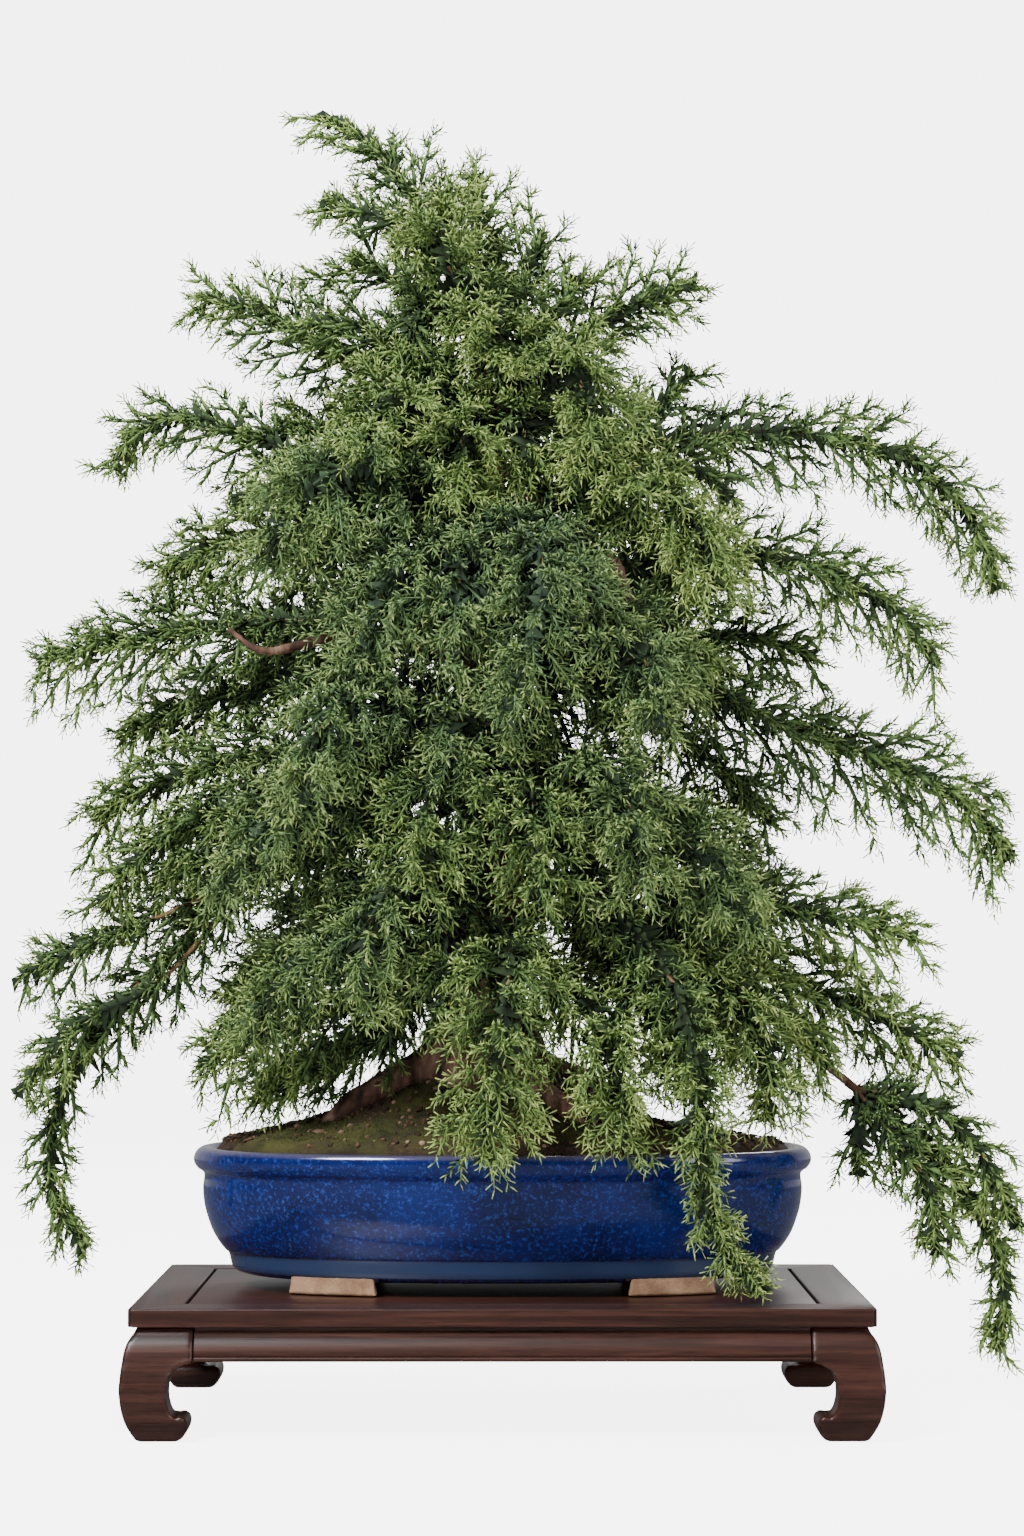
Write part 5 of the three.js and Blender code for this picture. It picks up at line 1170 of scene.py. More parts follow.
        (54, [(174, 16, 346), (234, 14, 316), (290, 6, 290), (342, -4, 262)])]),
    "skirt_back_left": ([(-14, 8, 384), (-54, 44, 396)], [
        (62, [(-116, 100, 388), (-172, 134, 344), (-204, 148, 284)])]),
    "skirt_back": ([(-14, 10, 364), (-14, 50, 384)], [
        (60, [(-16, 112, 382), (-20, 152, 338), (-22, 168, 274)])]),
    "skirt_back_right": ([(-10, 8, 356), (44, 44, 372)], [
        (62, [(106, 100, 362), (158, 130, 316), (184, 142, 256)])]),
}
sprays = {name: {"wood": inMetres(wood),
                 "stems": [{"reach": reach / 1000, "points": inMetres(points)} for reach, points in stems]}
          for name, (wood, stems) in sprayRoutes.items()}


# The trunk with its surface roots, stubs and the bare wood that leads to each spray

woodValues = {
    "start": 0.008, "end": 0.0034, "step": 0.006, "leadStep": 0.005, "leadPower": 0.7, "sides": 14,
    "voxel": 0.003, "soften": 3,
    # bark: how high the strips stand, how many lie round thick and thin wood, how they run on along it, what
    # part of the radius they may take, and how far the finer ones differ
    "strip": 0.0016, "across": (150, 260), "thickFrom": 0.015, "along": 16, "stripPart": 0.16,
    "ridge": (0.62, 2.2), "finer": (0.38, 2), "finerStep": 2.3, "finerFrom": (9, 3, 1),
    "flute": 0.1, "flutes": 38, "fluteRun": 4, "knot": 0.0035, "knots": 55, "knotPart": 0.22,
}


def tubeData(path, sides):
    # rings of points round a path of x, y, z and radius, closed at both ends
    places, radii = path[:, :3], path[:, 3]
    ahead = unit(np.gradient(places, axis=0))
    first = np.cross(ahead[0], (0.3, 1, 0.2))
    angles = np.arange(sides) * 2 * math.pi / sides
    cosines, sines = np.cos(angles)[:, None], np.sin(angles)[:, None]
    rings = []
    for place, radius, way in zip(places, radii, ahead):
        first = first - way * first.dot(way)
        first /= np.linalg.norm(first)
        rings.append(place + radius * (cosines * first + sines * np.cross(way, first)))
    points = np.concatenate(rings + [places[:1], places[-1:]])
    k = np.arange(sides)
    following = (k + 1) % sides
    triangles = []
    last = (len(places) - 1) * sides
    for start in range(0, last, sides):
        a, b = start + k, start + following
        triangles += [np.stack([a, b, b + sides], axis=1), np.stack([a, b + sides, a + sides], axis=1)]
    return points, np.concatenate(triangles + endFans(last, last + sides, k, following))


def endFans(last, middle, k, following):
    # the triangles that close the two ends of a tube, whose middles come after all its rings
    return [np.stack([np.full(len(k), middle), following, k], axis=1),
            np.stack([np.full(len(k), middle + 1), last + k, last + following], axis=1)]


def withRadius(points, thick, thin, step, power=1.0):
    row, _ = evenRow(points, step)
    share = np.linspace(0, 1, len(row))
    return np.column_stack([row[:, :3], thick + (thin - thick) * share ** power])


def routesOfWood():
    # a row of x, y, z and radius for the trunk, each root, each stub and the way to each spray
    v = woodValues
    paths = [evenRow(trunkLine, v["step"])[0]]
    for limb in surfaceRoots + bareStubs:
        paths.append(withRadius(limb["points"], limb["thick"], limb["thin"], v["step"]))
    for spray in sprays.values():
        lead = spray["wood"] + spray["stems"][0]["points"][:1]
        row = withRadius(lead, v["start"], v["end"], v["leadStep"], v["leadPower"])
        fork = np.linalg.norm(row[:, :3] - np.array(spray["wood"][-1]), axis=1).argmin()
        paths.append(row[:max(int(fork) + 2, 3)])
    return paths


def makeWood():
    v, paths = woodValues, routesOfWood()
    points, triangles = stacked([tubeData(path, v["sides"]) for path in paths])
    wood = meshFrom("trunkAndBranches", points, triangles)
    applyModifier(wood, "REMESH", mode="VOXEL", voxel_size=v["voxel"])
    applyModifier(wood, "SMOOTH", factor=0.5, iterations=v["soften"])
    # flaking strips of bark that run along each limb, and flutes down the trunk
    samples = np.concatenate(paths)
    ways = np.concatenate([unit(np.gradient(path[:, :3], axis=0)) for path in paths])
    aways = np.concatenate([np.concatenate([[0], np.cumsum(np.linalg.norm(np.diff(path[:, :3], axis=0), axis=1))])
                            for path in paths])
    tree = KDTree(len(samples))
    for index, sample in enumerate(samples):
        tree.insert(Vector(sample[:3]), index)
    tree.balance()
    places = placesOf(wood)
    normals = np.array([vert.normal for vert in wood.data.vertices])
    relief = np.zeros(len(places))
    (ridgePart, ridgeSharp), (finerPart, finerSharp) = v["ridge"], v["finer"]
    for index in range(len(places)):
        place = Vector(places[index].tolist())
        nearest = tree.find(place)[1]
        ahead, radius = ways[nearest], samples[nearest][3]
        along = float(np.dot(places[index] - samples[nearest][:3], ahead)) + aways[nearest]
        across = place - Vector(ahead) * place.dot(Vector(ahead))
        at = across * v["across"][0 if radius > v["thickFrom"] else 1] + Vector((0, 0, along * v["along"]))
        ridge = 1 - abs(noise.noise(at)) * ridgeSharp
        finer = 1 - abs(noise.noise(at * v["finerStep"] + Vector(v["finerFrom"]))) * finerSharp
        strips = ridgePart * ridge + finerPart * finer
        flute = noise.noise(across * v["flutes"] + Vector((0, 0, along * v["fluteRun"]))) * v["flute"] * radius
        knot = noise.noise(place * v["knots"]) * min(v["knot"], radius * v["knotPart"])
        high = strips * min(v["strip"], radius * v["stripPart"])
        # relief is low in the grooves between the strips, which the bark finish paints darker as shade
        relief[index] = min(max(0.5 + 0.5 * strips, 0), 1)
        places[index] += normals[index] * (high + flute + knot - v["strip"] * 0.5)
    wood.data.vertices.foreach_set("co", places.ravel())
    addAttributes(wood.data, relief=relief)
    onlyThis(wood)
    bpy.ops.object.shade_smooth()
    return wood


settle(makeWood(), bark, "trunk_and_branches")
print("wood done")


# The needle, modelled once, and the leafy sprays that are set with it

needleValues = {
    "long": 0.0074, "wide": 0.0024, "tip": 0.001, "tilt": 50, "tiltTip": 26,
    # how far apart needles stand on a shoot in full view and on a hidden one
    "apart": 0.0019, "apartHidden": 0.013, "hiddenSize": 1.3, "size": 1, "sizes": (0.86, 1.1),
    "turnStray": 0.42, "tiltStray": 6, "offAxis": 0.0003,
    # how much darker a hidden needle is painted as shade, how much fresher or older a needle is by its place, how much
    # darker a shoot's foot is, partly by age and partly as painted shade, and how much painted light each needle's tip
    # gets
    "hiddenShade": 0.4, "ageStray": 0.06, "footAgeAndShade": 0.14, "ageEnd": 0.3, "needleTipLight": 0.12,
    "fine": {"tilt": 43, "tiltTip": 22, "apart": 0.00145, "apartHidden": 0.004, "size": 0.98},
}
coreValues = {
    "step": 0.0078, "sides": 4, "radius": 0.0028, "radiusEnd": 0.0012, "long": 0.02, "hiddenLong": 0.034,
    "longs": (0.55, 1.15), "shorter": 0.35, "lean": 0.55, "swing": 0.3, "sag": 0.15, "slim": 0.9,
    # how fresh the tube, painted near-black as shade, its twigs in full view and its last point are
    "tubeShade": 0.02, "age": 0.36, "endAge": 0.2,
}
axisValues = {
    "thick": 0.0012, "fineThick": 0.0023, "hidden": 0.0034, "widest": 0.42, "most": 0.17,
    "ages": (-0.1, 0.04, 0.04, 0.04, 0.12), "hiddenShade": 0.7,
}
openValues = {
    "cell": 0.014, "width": 0.0065, "steps": 24, "otherSides": 0.42, "gain": 1.25, "hiddenFrom": 0.62, "fineMost": 0.22,
    # the ways to look from in front and from elsewhere
    "front": [(0, -1, 0.06), (-0.4, -0.9, 0.1), (0.4, -0.9, 0.1), (0, -0.85, 0.5), (0, -0.9, -0.3)],
    "others": [(-1, -0.2, 0.1), (1, -0.2, 0.1), (0, 1, 0.1), (-0.7, 0.7, 0.1), (0.7, 0.7, 0.1), (0, 0.3, 1),
               (0, 0, -1)],
}
stemValues = {"start": 0.0034, "sideStart": 0.0024, "end": 0.0009, "fork": 0.008, "step": 0.012, "sides": 6}
branchletValues = {
    # rows stand above, left, below and right of a stem
    "rows": (0.8, 1, 0.97, 1), "spacing": 0.0175, "spread": 0.84, "lean": 0.5, "droop": 0.22, "shares": (0.78, 1.22),
    "swing": 0.42, "stray": 0.14, "placeStray": 0.15, "last": 0.97, "bendStray": 0.05, "sideStray": 0.12,
    # how fresh branchlets are at the foot of a stem, and how much fresher at its tip
    "fresh": (0.3, 0.3), "stemFresh": (0.25, 0.3), "tipFresh": 0.55, "sideFresh": (0.04, 0.12),
    "fine": {"rows": (1.08, 0.62, 1.34, 0.62), "spacing": 0.0225, "spread": 0.7, "lean": 0.8, "swing": 0.28,
             "stray": 0.07, "sideShare": 0.42, "sideStep": 0.009, "sideLeast": 0.0065},
    "facing": (0, 1, 0.35), "firstFrom": 0.02, "othersFrom": 0.05,
    "sideAngle": 42, "sideAngles": 6, "sideShare": 0.48, "sideStep": 0.0105, "sideLeast": 0.0085, "sideMost": 6,
    "sideSwing": 0.5, "sideLongs": (0.75, 1.25), "sideSag": (-0.05, 0.25), "sideHook": 0.14,
    # twiglets stand on side shoots that are this long and this open
    "twigletStep": 0.0085, "twigletShare": 0.3, "twigletLeast": 0.0085, "twigletMost": 2, "twigletSwing": 0.4,
    "twigletFrom": {True: 0.03, False: 0.019}, "twigletOpen": 0.4,
    "tipRun": 0.06, "rowStep": 0.003, "stemPiece": 8, "woodReach": 0.04, "woodSpacing": 0.02,
}


def makeNeedle():
    bpy.ops.object.select_all(action="DESELECT")
    # four points: a wide edge at the foot, and a narrow one crosswise at the tip
    v = needleValues
    bpy.ops.mesh.primitive_cone_add(vertices=3, radius1=0.5, radius2=0, depth=1, location=(0, 0, 0))
    needle = bpy.context.object
    editing(needle)
    mesh = bmesh.from_edit_mesh(needle.data)
    foot = sorted((vert for vert in mesh.verts if vert.co.z < 0), key=lambda vert: vert.co.y)
    tip = next(vert for vert in mesh.verts if vert.co.z > 0)
    for vert, place in zip((foot[0], foot[1], foot[2], tip), (
            (-v["wide"] / 2, 0, 0), (v["wide"] / 2, 0, 0), (0, v["tip"] / 2, 1), (0, -v["tip"] / 2, 1))):
        vert.co = place
    bmesh.update_edit_mesh(needle.data)
    bpy.ops.mesh.select_all(action="SELECT")
    bpy.ops.mesh.normals_make_consistent(inside=False)
    done()
    onlyThis(needle)
    bpy.ops.object.transform_apply(location=True, rotation=True, scale=True)
    return modelCoordinates(needle)


needlePoints, needleFaces = makeNeedle()
print("needle", needlePoints.round(4).tolist(), len(needleFaces), "faces")

# what shoots keep clear of: the model's own box, the soil, the pot's lip (half length, from, to), its wall, the stand
clearValues = {"box": 0.0015, "soil": 0.214, "lip": (0.231, 0.18, 0.1985), "wallFrom": 0.09,
               # the lengths that are tried for a shoot, the largest step between them, and what its end needles take
               "trials": (0.2, 0.35, 0.5, 0.65, 0.8, 0.9, 1.0), "step": 0.21, "needle": 0.004}
boxLow = np.array(cadBox[0]) - np.array(shift) + clearValues["box"]
boxHigh = np.array(cadBox[1]) - np.array(shift) - clearValues["box"]
potOutline = np.array(sorted((b / 1000, a / 1000) for a, b in potValues["outside"]))


def isClear(points, margin=0.002):
    # True for places above the soil, outside pot and stand and inside the model's own box
    v = clearValues
    x, y, z = points[:, 0], points[:, 1], points[:, 2]
    reach = ovalReach(x, y, np.clip(z, potValues["base"], potValues["rim"]))
    lip, lipLow, lipHigh = v["lip"]
    inSoil = (reach < v["soil"]) & (z < soilHeight(x, y) + margin)
    inLip = (reach < lip + margin) & (z < lipHigh + margin) & (z > lipLow)
    inPot = (reach < np.interp(z, *potOutline.T) + margin) & (z < lipHigh) & (z > v["wallFrom"])
    halfLong, halfDeep = standValues["long"] / 2, standValues["deep"] / 2
    inStand = (np.abs(x) < halfLong + margin) & (np.abs(y) < halfDeep + margin) & (z < standValues["top"] + margin)
    return np.all((points > boxLow) & (points < boxHigh), axis=1) & ~(inSoil | inLip | inPot | inStand)


def acrossOf(vectors, hints):
    return unit(hints - vectors * np.sum(vectors * hints, axis=1, keepdims=True))


def stemFrames(row):
    # along, side and over at each place of a stem; over is as far up as the stem allows
    along = unit(np.gradient(row, axis=0))
    outward = row.copy()
    outward[:, 0] += 0.015
    outward[:, 2] = 0
    outward = unit(outward + 1e-6)
    steep = np.clip((np.abs(along[:, 2]) - 0.75) / 0.2, 0, 1)[:, None]
    hint = np.array([[0, 0, 1.0]]) * (1 - steep) + outward * steep * np.sign(-along[:, 2:3] + 1e-9) * -1
    over = acrossOf(along, hint)
    side = np.cross(along, over)
    return along, side, over


def reachAt(u):
    # how far branchlets reach along a stem, as a share: less at its foot, and tapering to its tip
    return np.minimum(np.minimum(0.75 + u, 1), 0.5 + 1.3 * (1 - u))


class Shoots:
    # leafy shoots as rows of arrays: where each starts, its way, length, bend and side, how fresh it is with its
    # spray's painted light and shade, and, as ends, whether side shoots grow from it
    keys = ("base", "way", "long", "bend", "side", "fresh", "ends")

    def __init__(self):
        self.rows = []

    def add(self, base, way, long, bend, side, fresh, ends):
        each = [np.broadcast_to(np.asarray(value, float), (len(base),)).copy() for value in (long, fresh, ends)]
        self.rows.append((base, way, each[0], bend, side, *each[1:]))

    def close(self):
        for index, key in enumerate(self.keys):
            setattr(self, key, np.concatenate([row[index] for row in self.rows]))
        self.middle = self.base + self.way * self.long[:, None] * 0.6 + self.bend * 0.36


def shortened(base, along, length, bend):
    # shoots that would leave the box or run into soil, pot or stand are cut shorter, and hopeless ones dropped
    v = clearValues
    share = np.zeros(len(base))
    for trial in v["trials"]:
        ends = base + along * (length * trial)[:, None] + bend * trial ** 2
        tips = ends + unit(along * length[:, None] + 2 * bend * trial) * v["needle"]
        fits = isClear(tips) & isClear(ends)
        share = np.where(fits & (share >= trial - v["step"]), trial, share)
    return share


def sideShoots(shoots, chosen, v, kind):
    # alternate side shoots on the chosen ones, most of them in one plane, and fewer where they would be hidden
    step, share, least, most, swingWidth = (v[kind + key] for key in ("Step", "Share", "Least", "Most", "Swing"))
    base, way, bend, side, fresh = (getattr(shoots, key)[chosen] for key in ("base", "way", "bend", "side", "fresh"))
    long, seen = shoots.long[chosen], shoots.open[chosen]
    number = np.clip(np.rint((long / step - 1) * np.clip(0.1 + 1.5 * seen, 0, 1)).astype(int), 0, most)
    owner = np.repeat(np.arange(len(base)), number)
    order = np.arange(len(owner)) - np.repeat(np.cumsum(number) - number, number)
    place = (order + 0.7 + rng.uniform(-0.2, 0.2, len(owner))) / (number[owner] + 0.7)
    ownLong, ownWay, ownBend = long[owner][:, None], way[owner], bend[owner]
    start = base[owner] + ownWay * ownLong * place[:, None] + ownBend * (place ** 2)[:, None]
    ahead = unit(ownWay * ownLong + 2 * ownBend * place[:, None])
    sign = np.where((order + owner) % 2 == 0, 1.0, -1.0)[:, None]
    other = np.cross(ahead, side[owner])
    swing = rng.normal(0, swingWidth, (len(owner), 1))
    out = unit(side[owner] * sign * np.cos(swing) + other * np.sin(swing))
    angle = np.radians(rng.normal(v["sideAngle"], v["sideAngles"], (len(owner), 1)))
    sideWay = ahead * np.cos(angle) + out * np.sin(angle)
    sideLong = (share * (1 - place) * long[owner] + least) * rng.uniform(*v["sideLongs"], len(owner))
    sideBend = np.zeros_like(start)
    sideBend[:, 2] = -sideLong * rng.uniform(*v["sideSag"], len(owner))
    sideBend += ahead * (sideLong * v["sideHook"])[:, None]
    fits = shortened(start, sideWay, sideLong, sideBend)
    keep = (fits > 0.1) & isClear(start, 0.001)
    sideLong = sideLong * fits
    sideBend = sideBend * (fits ** 2)[:, None]
    hint = acrossOf(sideWay, np.cross(sideWay, np.array([v["facing"]])) + 0.01)
    sideFresh = fresh[owner] + v["sideFresh"][1] * place + v["sideFresh"][0]
    shoots.add(start[keep], sideWay[keep], sideLong[keep], sideBend[keep], hint[keep], sideFresh[keep], 0)
    shoots.close()


def valuesFor(values, look):
    # the values of a piece, with those that differ on fine limbs
    return {**values, **values["fine"]} if look["fine"] else values


def branchletsOn(row, reach, length, shoots, look, spacing, lowest):
    # leafy branchlets set in four rows along one stem
    v = valuesFor(branchletValues, look)
    along, side, over = stemFrames(row)
    count = max(int(length / spacing), 2)
    bases, ways, longs, freshes = [], [], [], []
    for rowIndex, rowShare in enumerate(v["rows"]):
        places = (np.arange(count) + 0.25 * rowIndex + rng.uniform(-v["placeStray"], v["placeStray"], count)) / count
        places = np.clip(places, lowest, v["last"])
        index = places * (len(row) - 1)
        low = np.minimum(index.astype(int), len(row) - 2)
        part = (index - low)[:, None]
        take = lambda values: values[low] * (1 - part) + values[low + 1] * part
        out = {0: over, 1: -side, 2: -over, 3: side}[rowIndex]
        swing = rng.normal(0, v["swing"], (count, 1))
        swung = take(out) + swing * take({0: side, 1: over, 2: side, 3: over}[rowIndex])
        spread = v["spread"] * (1 - 0.25 * places)[:, None]
        ways.append(unit(unit(swung) * spread + take(along) * v["lean"] + rng.normal(0, v["stray"], (count, 3))))
        bases.append(take(row))
        longs.append(reach * reachAt(places) * rowShare * rng.uniform(*v["shares"], count))
        freshes.append(v["fresh"][0] + v["fresh"][1] * places)
    base, way = np.concatenate(bases), np.concatenate(ways)
    # the spray's painted light and shade is added to how fresh its branchlets are
    long, fresh = np.concatenate(longs), np.concatenate(freshes) + look["bright"]
    bend = np.zeros_like(base)
    bend[:, 2] = -long * v["droop"] * rng.uniform(0.5, 1.5, len(long)) * look["droop"]
    bend += rng.normal(0, v["bendStray"], base.shape) * long[:, None]
    share = shortened(base, way, long, bend)
    keep = share > 0.1
    base, way, long, bend, fresh, share = (a[keep] for a in (base, way, long, bend, fresh, share))
    long = long * share
    bend = bend * (share ** 2)[:, None]
    # their side shoots spread mostly across the front of the tree
    side = acrossOf(way, np.cross(way, np.array([v["facing"]])) + rng.normal(0, v["sideStray"], way.shape))
    shoots.add(base, way, long, bend, side, fresh, 1)


def curvedPiece(row, first, last):
    # start, way, length and bend of the shoot that follows a stem from one place to another
    middle = row[(first + last) // 2]
    bend = 2 * (row[first] + row[last]) - 4 * middle
    way = row[last] - row[first] - bend
    long = np.linalg.norm(way, axis=-1)
    return row[first], way / np.maximum(long, 1e-9)[..., None], long, bend


def growSpray(data, look):
    # every shoot of one spray, and the rows its stems follow
    v = valuesFor(branchletValues, look)
    shoots = Shoots()
    rows = []
    fork = np.array(data["wood"][-1], float)
    for index, stem in enumerate(data["stems"]):
        start = fork
        if index:
            ahead = np.array(data["stems"][0]["points"][0]) - fork
            start = fork + ahead / np.linalg.norm(ahead) * stemValues["fork"]
        line = [tuple(start)] + stem["points"]
        row, length = evenRow(line, v["rowStep"])
        rows.append((line, row))
        branchletsOn(row, stem["reach"], length, shoots, look, v["spacing"], v["othersFrom" if index else "firstFrom"])
        # needles on the stem itself, from where it stops being bare
        pieces = np.arange(int(look["bare"] * len(row)), len(row) - v["stemPiece"] - 1, v["stemPiece"])
        if len(pieces):
            base, way, long, bend = curvedPiece(row, pieces, pieces + v["stemPiece"])
            hint = acrossOf(way, np.cross(way, rng.normal(0, 1, way.shape)))
            fresh = v["stemFresh"][0] + v["stemFresh"][1] * pieces / len(row)
            shoots.add(base, way, long, bend, hint, fresh + look["bright"], 0)
        # the tip of the stem is a leafy shoot itself
        run = min(v["tipRun"], 0.4 * length)
        at = np.array([max(len(row) - 1 - int(run / v["rowStep"]), 1)])
        base, way, long, bend = curvedPiece(row, at, np.array([len(row) - 1]))
        hint = acrossOf(way, np.array([[0.2, 0.1, 1.0]]))
        shoots.add(base, way, long, bend, hint, v["tipFresh"] + look["bright"], 1)
    if look["leafyWood"]:
        # short branchlets on the wood near the fork
        whole, _ = evenRow(data["wood"], v["rowStep"])
        row = whole[len(whole) // 3:]
        if len(row) > 4:
            branchletsOn(row, v["woodReach"], v["rowStep"] * len(row), shoots, look, v["woodSpacing"], v["firstFrom"])
    shoots.close()
    return shoots, rows


def coverGrid(everyShoots):
    # how much leaf stands in each small cell of the tree, by three places on each shoot
    v = openValues
    low = boxLow - v["cell"]
    counts = np.ceil((boxHigh - low) / v["cell"]).astype(int) + 2
    grid = np.zeros(counts)
    for shoots in everyShoots:
        for share in (0.2, 0.5, 0.8):
            places = shoots.base + shoots.way * shoots.long[:, None] * share + shoots.bend * share ** 2
            cells = np.clip(((places - low) / v["cell"]).astype(int), 0, counts - 1)
            np.add.at(grid, tuple(cells.T), shoots.long / 3 * v["width"] / v["cell"] ** 2)
    return grid, low


def openness(places, grid, low):
    # from 0 for a hidden place to 1 for one that nothing stands before, seen from in front or, less so, elsewhere
    v = openValues
    counts = np.array(grid.shape)
    best = np.zeros(len(places))
    for views, share in ((v["front"], 1), (v["others"], v["otherSides"])):
        for view in views:
            way = np.array(view) / np.linalg.norm(view)
            depth = np.zeros(len(places))
            for step in range(1, v["steps"] + 1):
                cells = ((places + way * v["cell"] * step - low) / v["cell"]).astype(int)
                inside = np.all((cells >= 0) & (cells < counts), axis=1)
                cells = np.clip(cells, 0, counts - 1)
                depth += grid[tuple(cells.T)] * inside
            best = np.maximum(best, np.exp(-depth) * share)
    return np.clip(best * v["gain"], 0, 1)


def hiddenPart(seen, look):
    # nothing is painted dark as shade or thinly set until most of the view to it is closed, and limbs let light through
    start = openValues["hiddenFrom"]
    return np.clip((start - seen) / start, 0, openValues["fineMost"] if look["fine"] else 1)


def needlesOn(shoots, look):
    # every needle of a spray at once: where it starts, which way it points, and how fresh it is, with painted shade and
    # light
    v = valuesFor(needleValues, look)
    hidden = hiddenPart(shoots.open, look)
    apart = v["apart"] + (v["apartHidden"] - v["apart"]) * hidden ** 0.8
    number = np.maximum((shoots.long / apart).astype(int), 3)
    owner = np.repeat(np.arange(len(number)), number)
    order = np.arange(len(owner)) - np.repeat(np.cumsum(number) - number, number)
    place = (order + 0.6 + rng.uniform(-0.3, 0.3, len(owner))) / number[owner]
    place = np.clip(place, 0, 1)[:, None]
    way, bend, long = shoots.way[owner], shoots.bend[owner], shoots.long[owner][:, None]
    start = shoots.base[owner] + way * long * place + bend * place ** 2
    ahead = unit(way * long + 2 * bend * place)
    first = acrossOf(ahead, shoots.side[owner])
    second = np.cross(ahead, first)
    # most needles stand left and right like the barbs of a feather, every fifth above or below
    turn = np.where(order % 5 == 4, np.where(order % 2 == 0, 0.5, 1.5), order % 5 % 2) * math.pi
    turn = (turn + rng.normal(0, v["turnStray"], len(owner)))[:, None]
    out = first * np.cos(turn) + second * np.sin(turn)
    fromTip = np.clip((1 - place) / 0.25, 0, 1)
    tilt = v["tiltTip"] + (v["tilt"] - v["tiltTip"]) * fromTip
    tilt = np.radians(tilt + rng.normal(0, v["tiltStray"], (len(owner), 1)))
    direction = ahead * np.cos(tilt) + out * np.sin(tilt)
    scale = v["size"] * (1 + (v["hiddenSize"] - 1) * hidden)
    size = rng.uniform(*v["sizes"], (len(owner), 1)) * (0.74 + 0.26 * np.clip(place / 0.15, 0, 1))
    size *= (0.78 + 0.22 * fromTip) * scale[owner][:, None]
    start = start + out * v["offAxis"]
    tips = start + direction * v["long"] * size
    keep = isClear(tips, 0.0005) & isClear(start, 0.0003)
    start, direction, ahead, size, place = (a[keep] for a in (start, direction, ahead, size, place[:, 0]))
    wide = unit(np.cross(direction, ahead) + 1e-6)
    thick = np.cross(direction, wide)
    # a shorter needle is a little slimmer too
    across = 0.3 + 0.7 * size[:, None] ** 1.6
    size = size * v["long"]
    model = needlePoints
    points = (start[:, None] + wide[:, None] * model[None, :, 0:1] * across
              + thick[:, None] * model[None, :, 1:2] * across
              + direction[:, None] * (model[None, :, 2:3] * size[:, None]))
    triangles = needleFaces[None] + len(model) * np.arange(len(start))[:, None, None]
    hidden = hidden[owner][keep]
    # hidden needles are painted darker as shade, a shoot's foot is darker partly by age and partly as painted shade,
    # and each needle's tip is painted lighter
    age = shoots.fresh[owner][keep] - v["hiddenShade"] * hidden + rng.normal(0, v["ageStray"], len(start))
    age -= v["footAgeAndShade"] * (1 - place)
    age += v["ageEnd"] * np.clip((place - 0.6) / 0.4, 0, 1) * (1 - hidden)
    shade = np.repeat(age[:, None], len(model), axis=1)
    shade[:, model[:, 2] > 0.9] += v["needleTipLight"]
    return points.reshape(-1, 3), triangles.reshape(-1, 3), np.clip(shade, 0, 1).ravel()


def axesOf(shoots, look):
    # the axis of each shoot, a three-sided spindle: thin and green in view, thick where it is hidden and painted dark
    # there as shade
    v = axisValues
    first = shoots.side
    second = np.cross(shoots.way, first)
    corners = [first, -0.5 * first + 0.87 * second, -0.5 * first - 0.87 * second]
    base, way, long, bend = shoots.base, shoots.way, shoots.long[:, None], shoots.bend
    hidden = hiddenPart(shoots.open, look)[:, None]
    thick = np.minimum((v["fineThick"] if look["fine"] else v["thick"]) + v["hidden"] * hidden, v["most"] * long)
    at = v["widest"]
    middle = base + way * long * at + bend * at ** 2
    rings = [base] + [middle + c * thick for c in corners] + [base + way * long + bend]
    faces = [(0, 2, 1), (0, 3, 2), (0, 1, 3), (1, 2, 4), (2, 3, 4), (3, 1, 4)]
    points = np.stack(rings, axis=1)
    triangles = np.array(faces)[None] + len(rings) * np.arange(len(base))[:, None, None]
    # hidden axes are painted darker, as shade
    shade = np.clip(shoots.fresh[:, None] + np.array(v["ages"]) - v["hiddenShade"] * hidden, 0, 1)
    return points.reshape(-1, 3), triangles.reshape(-1, 3), shade.ravel()


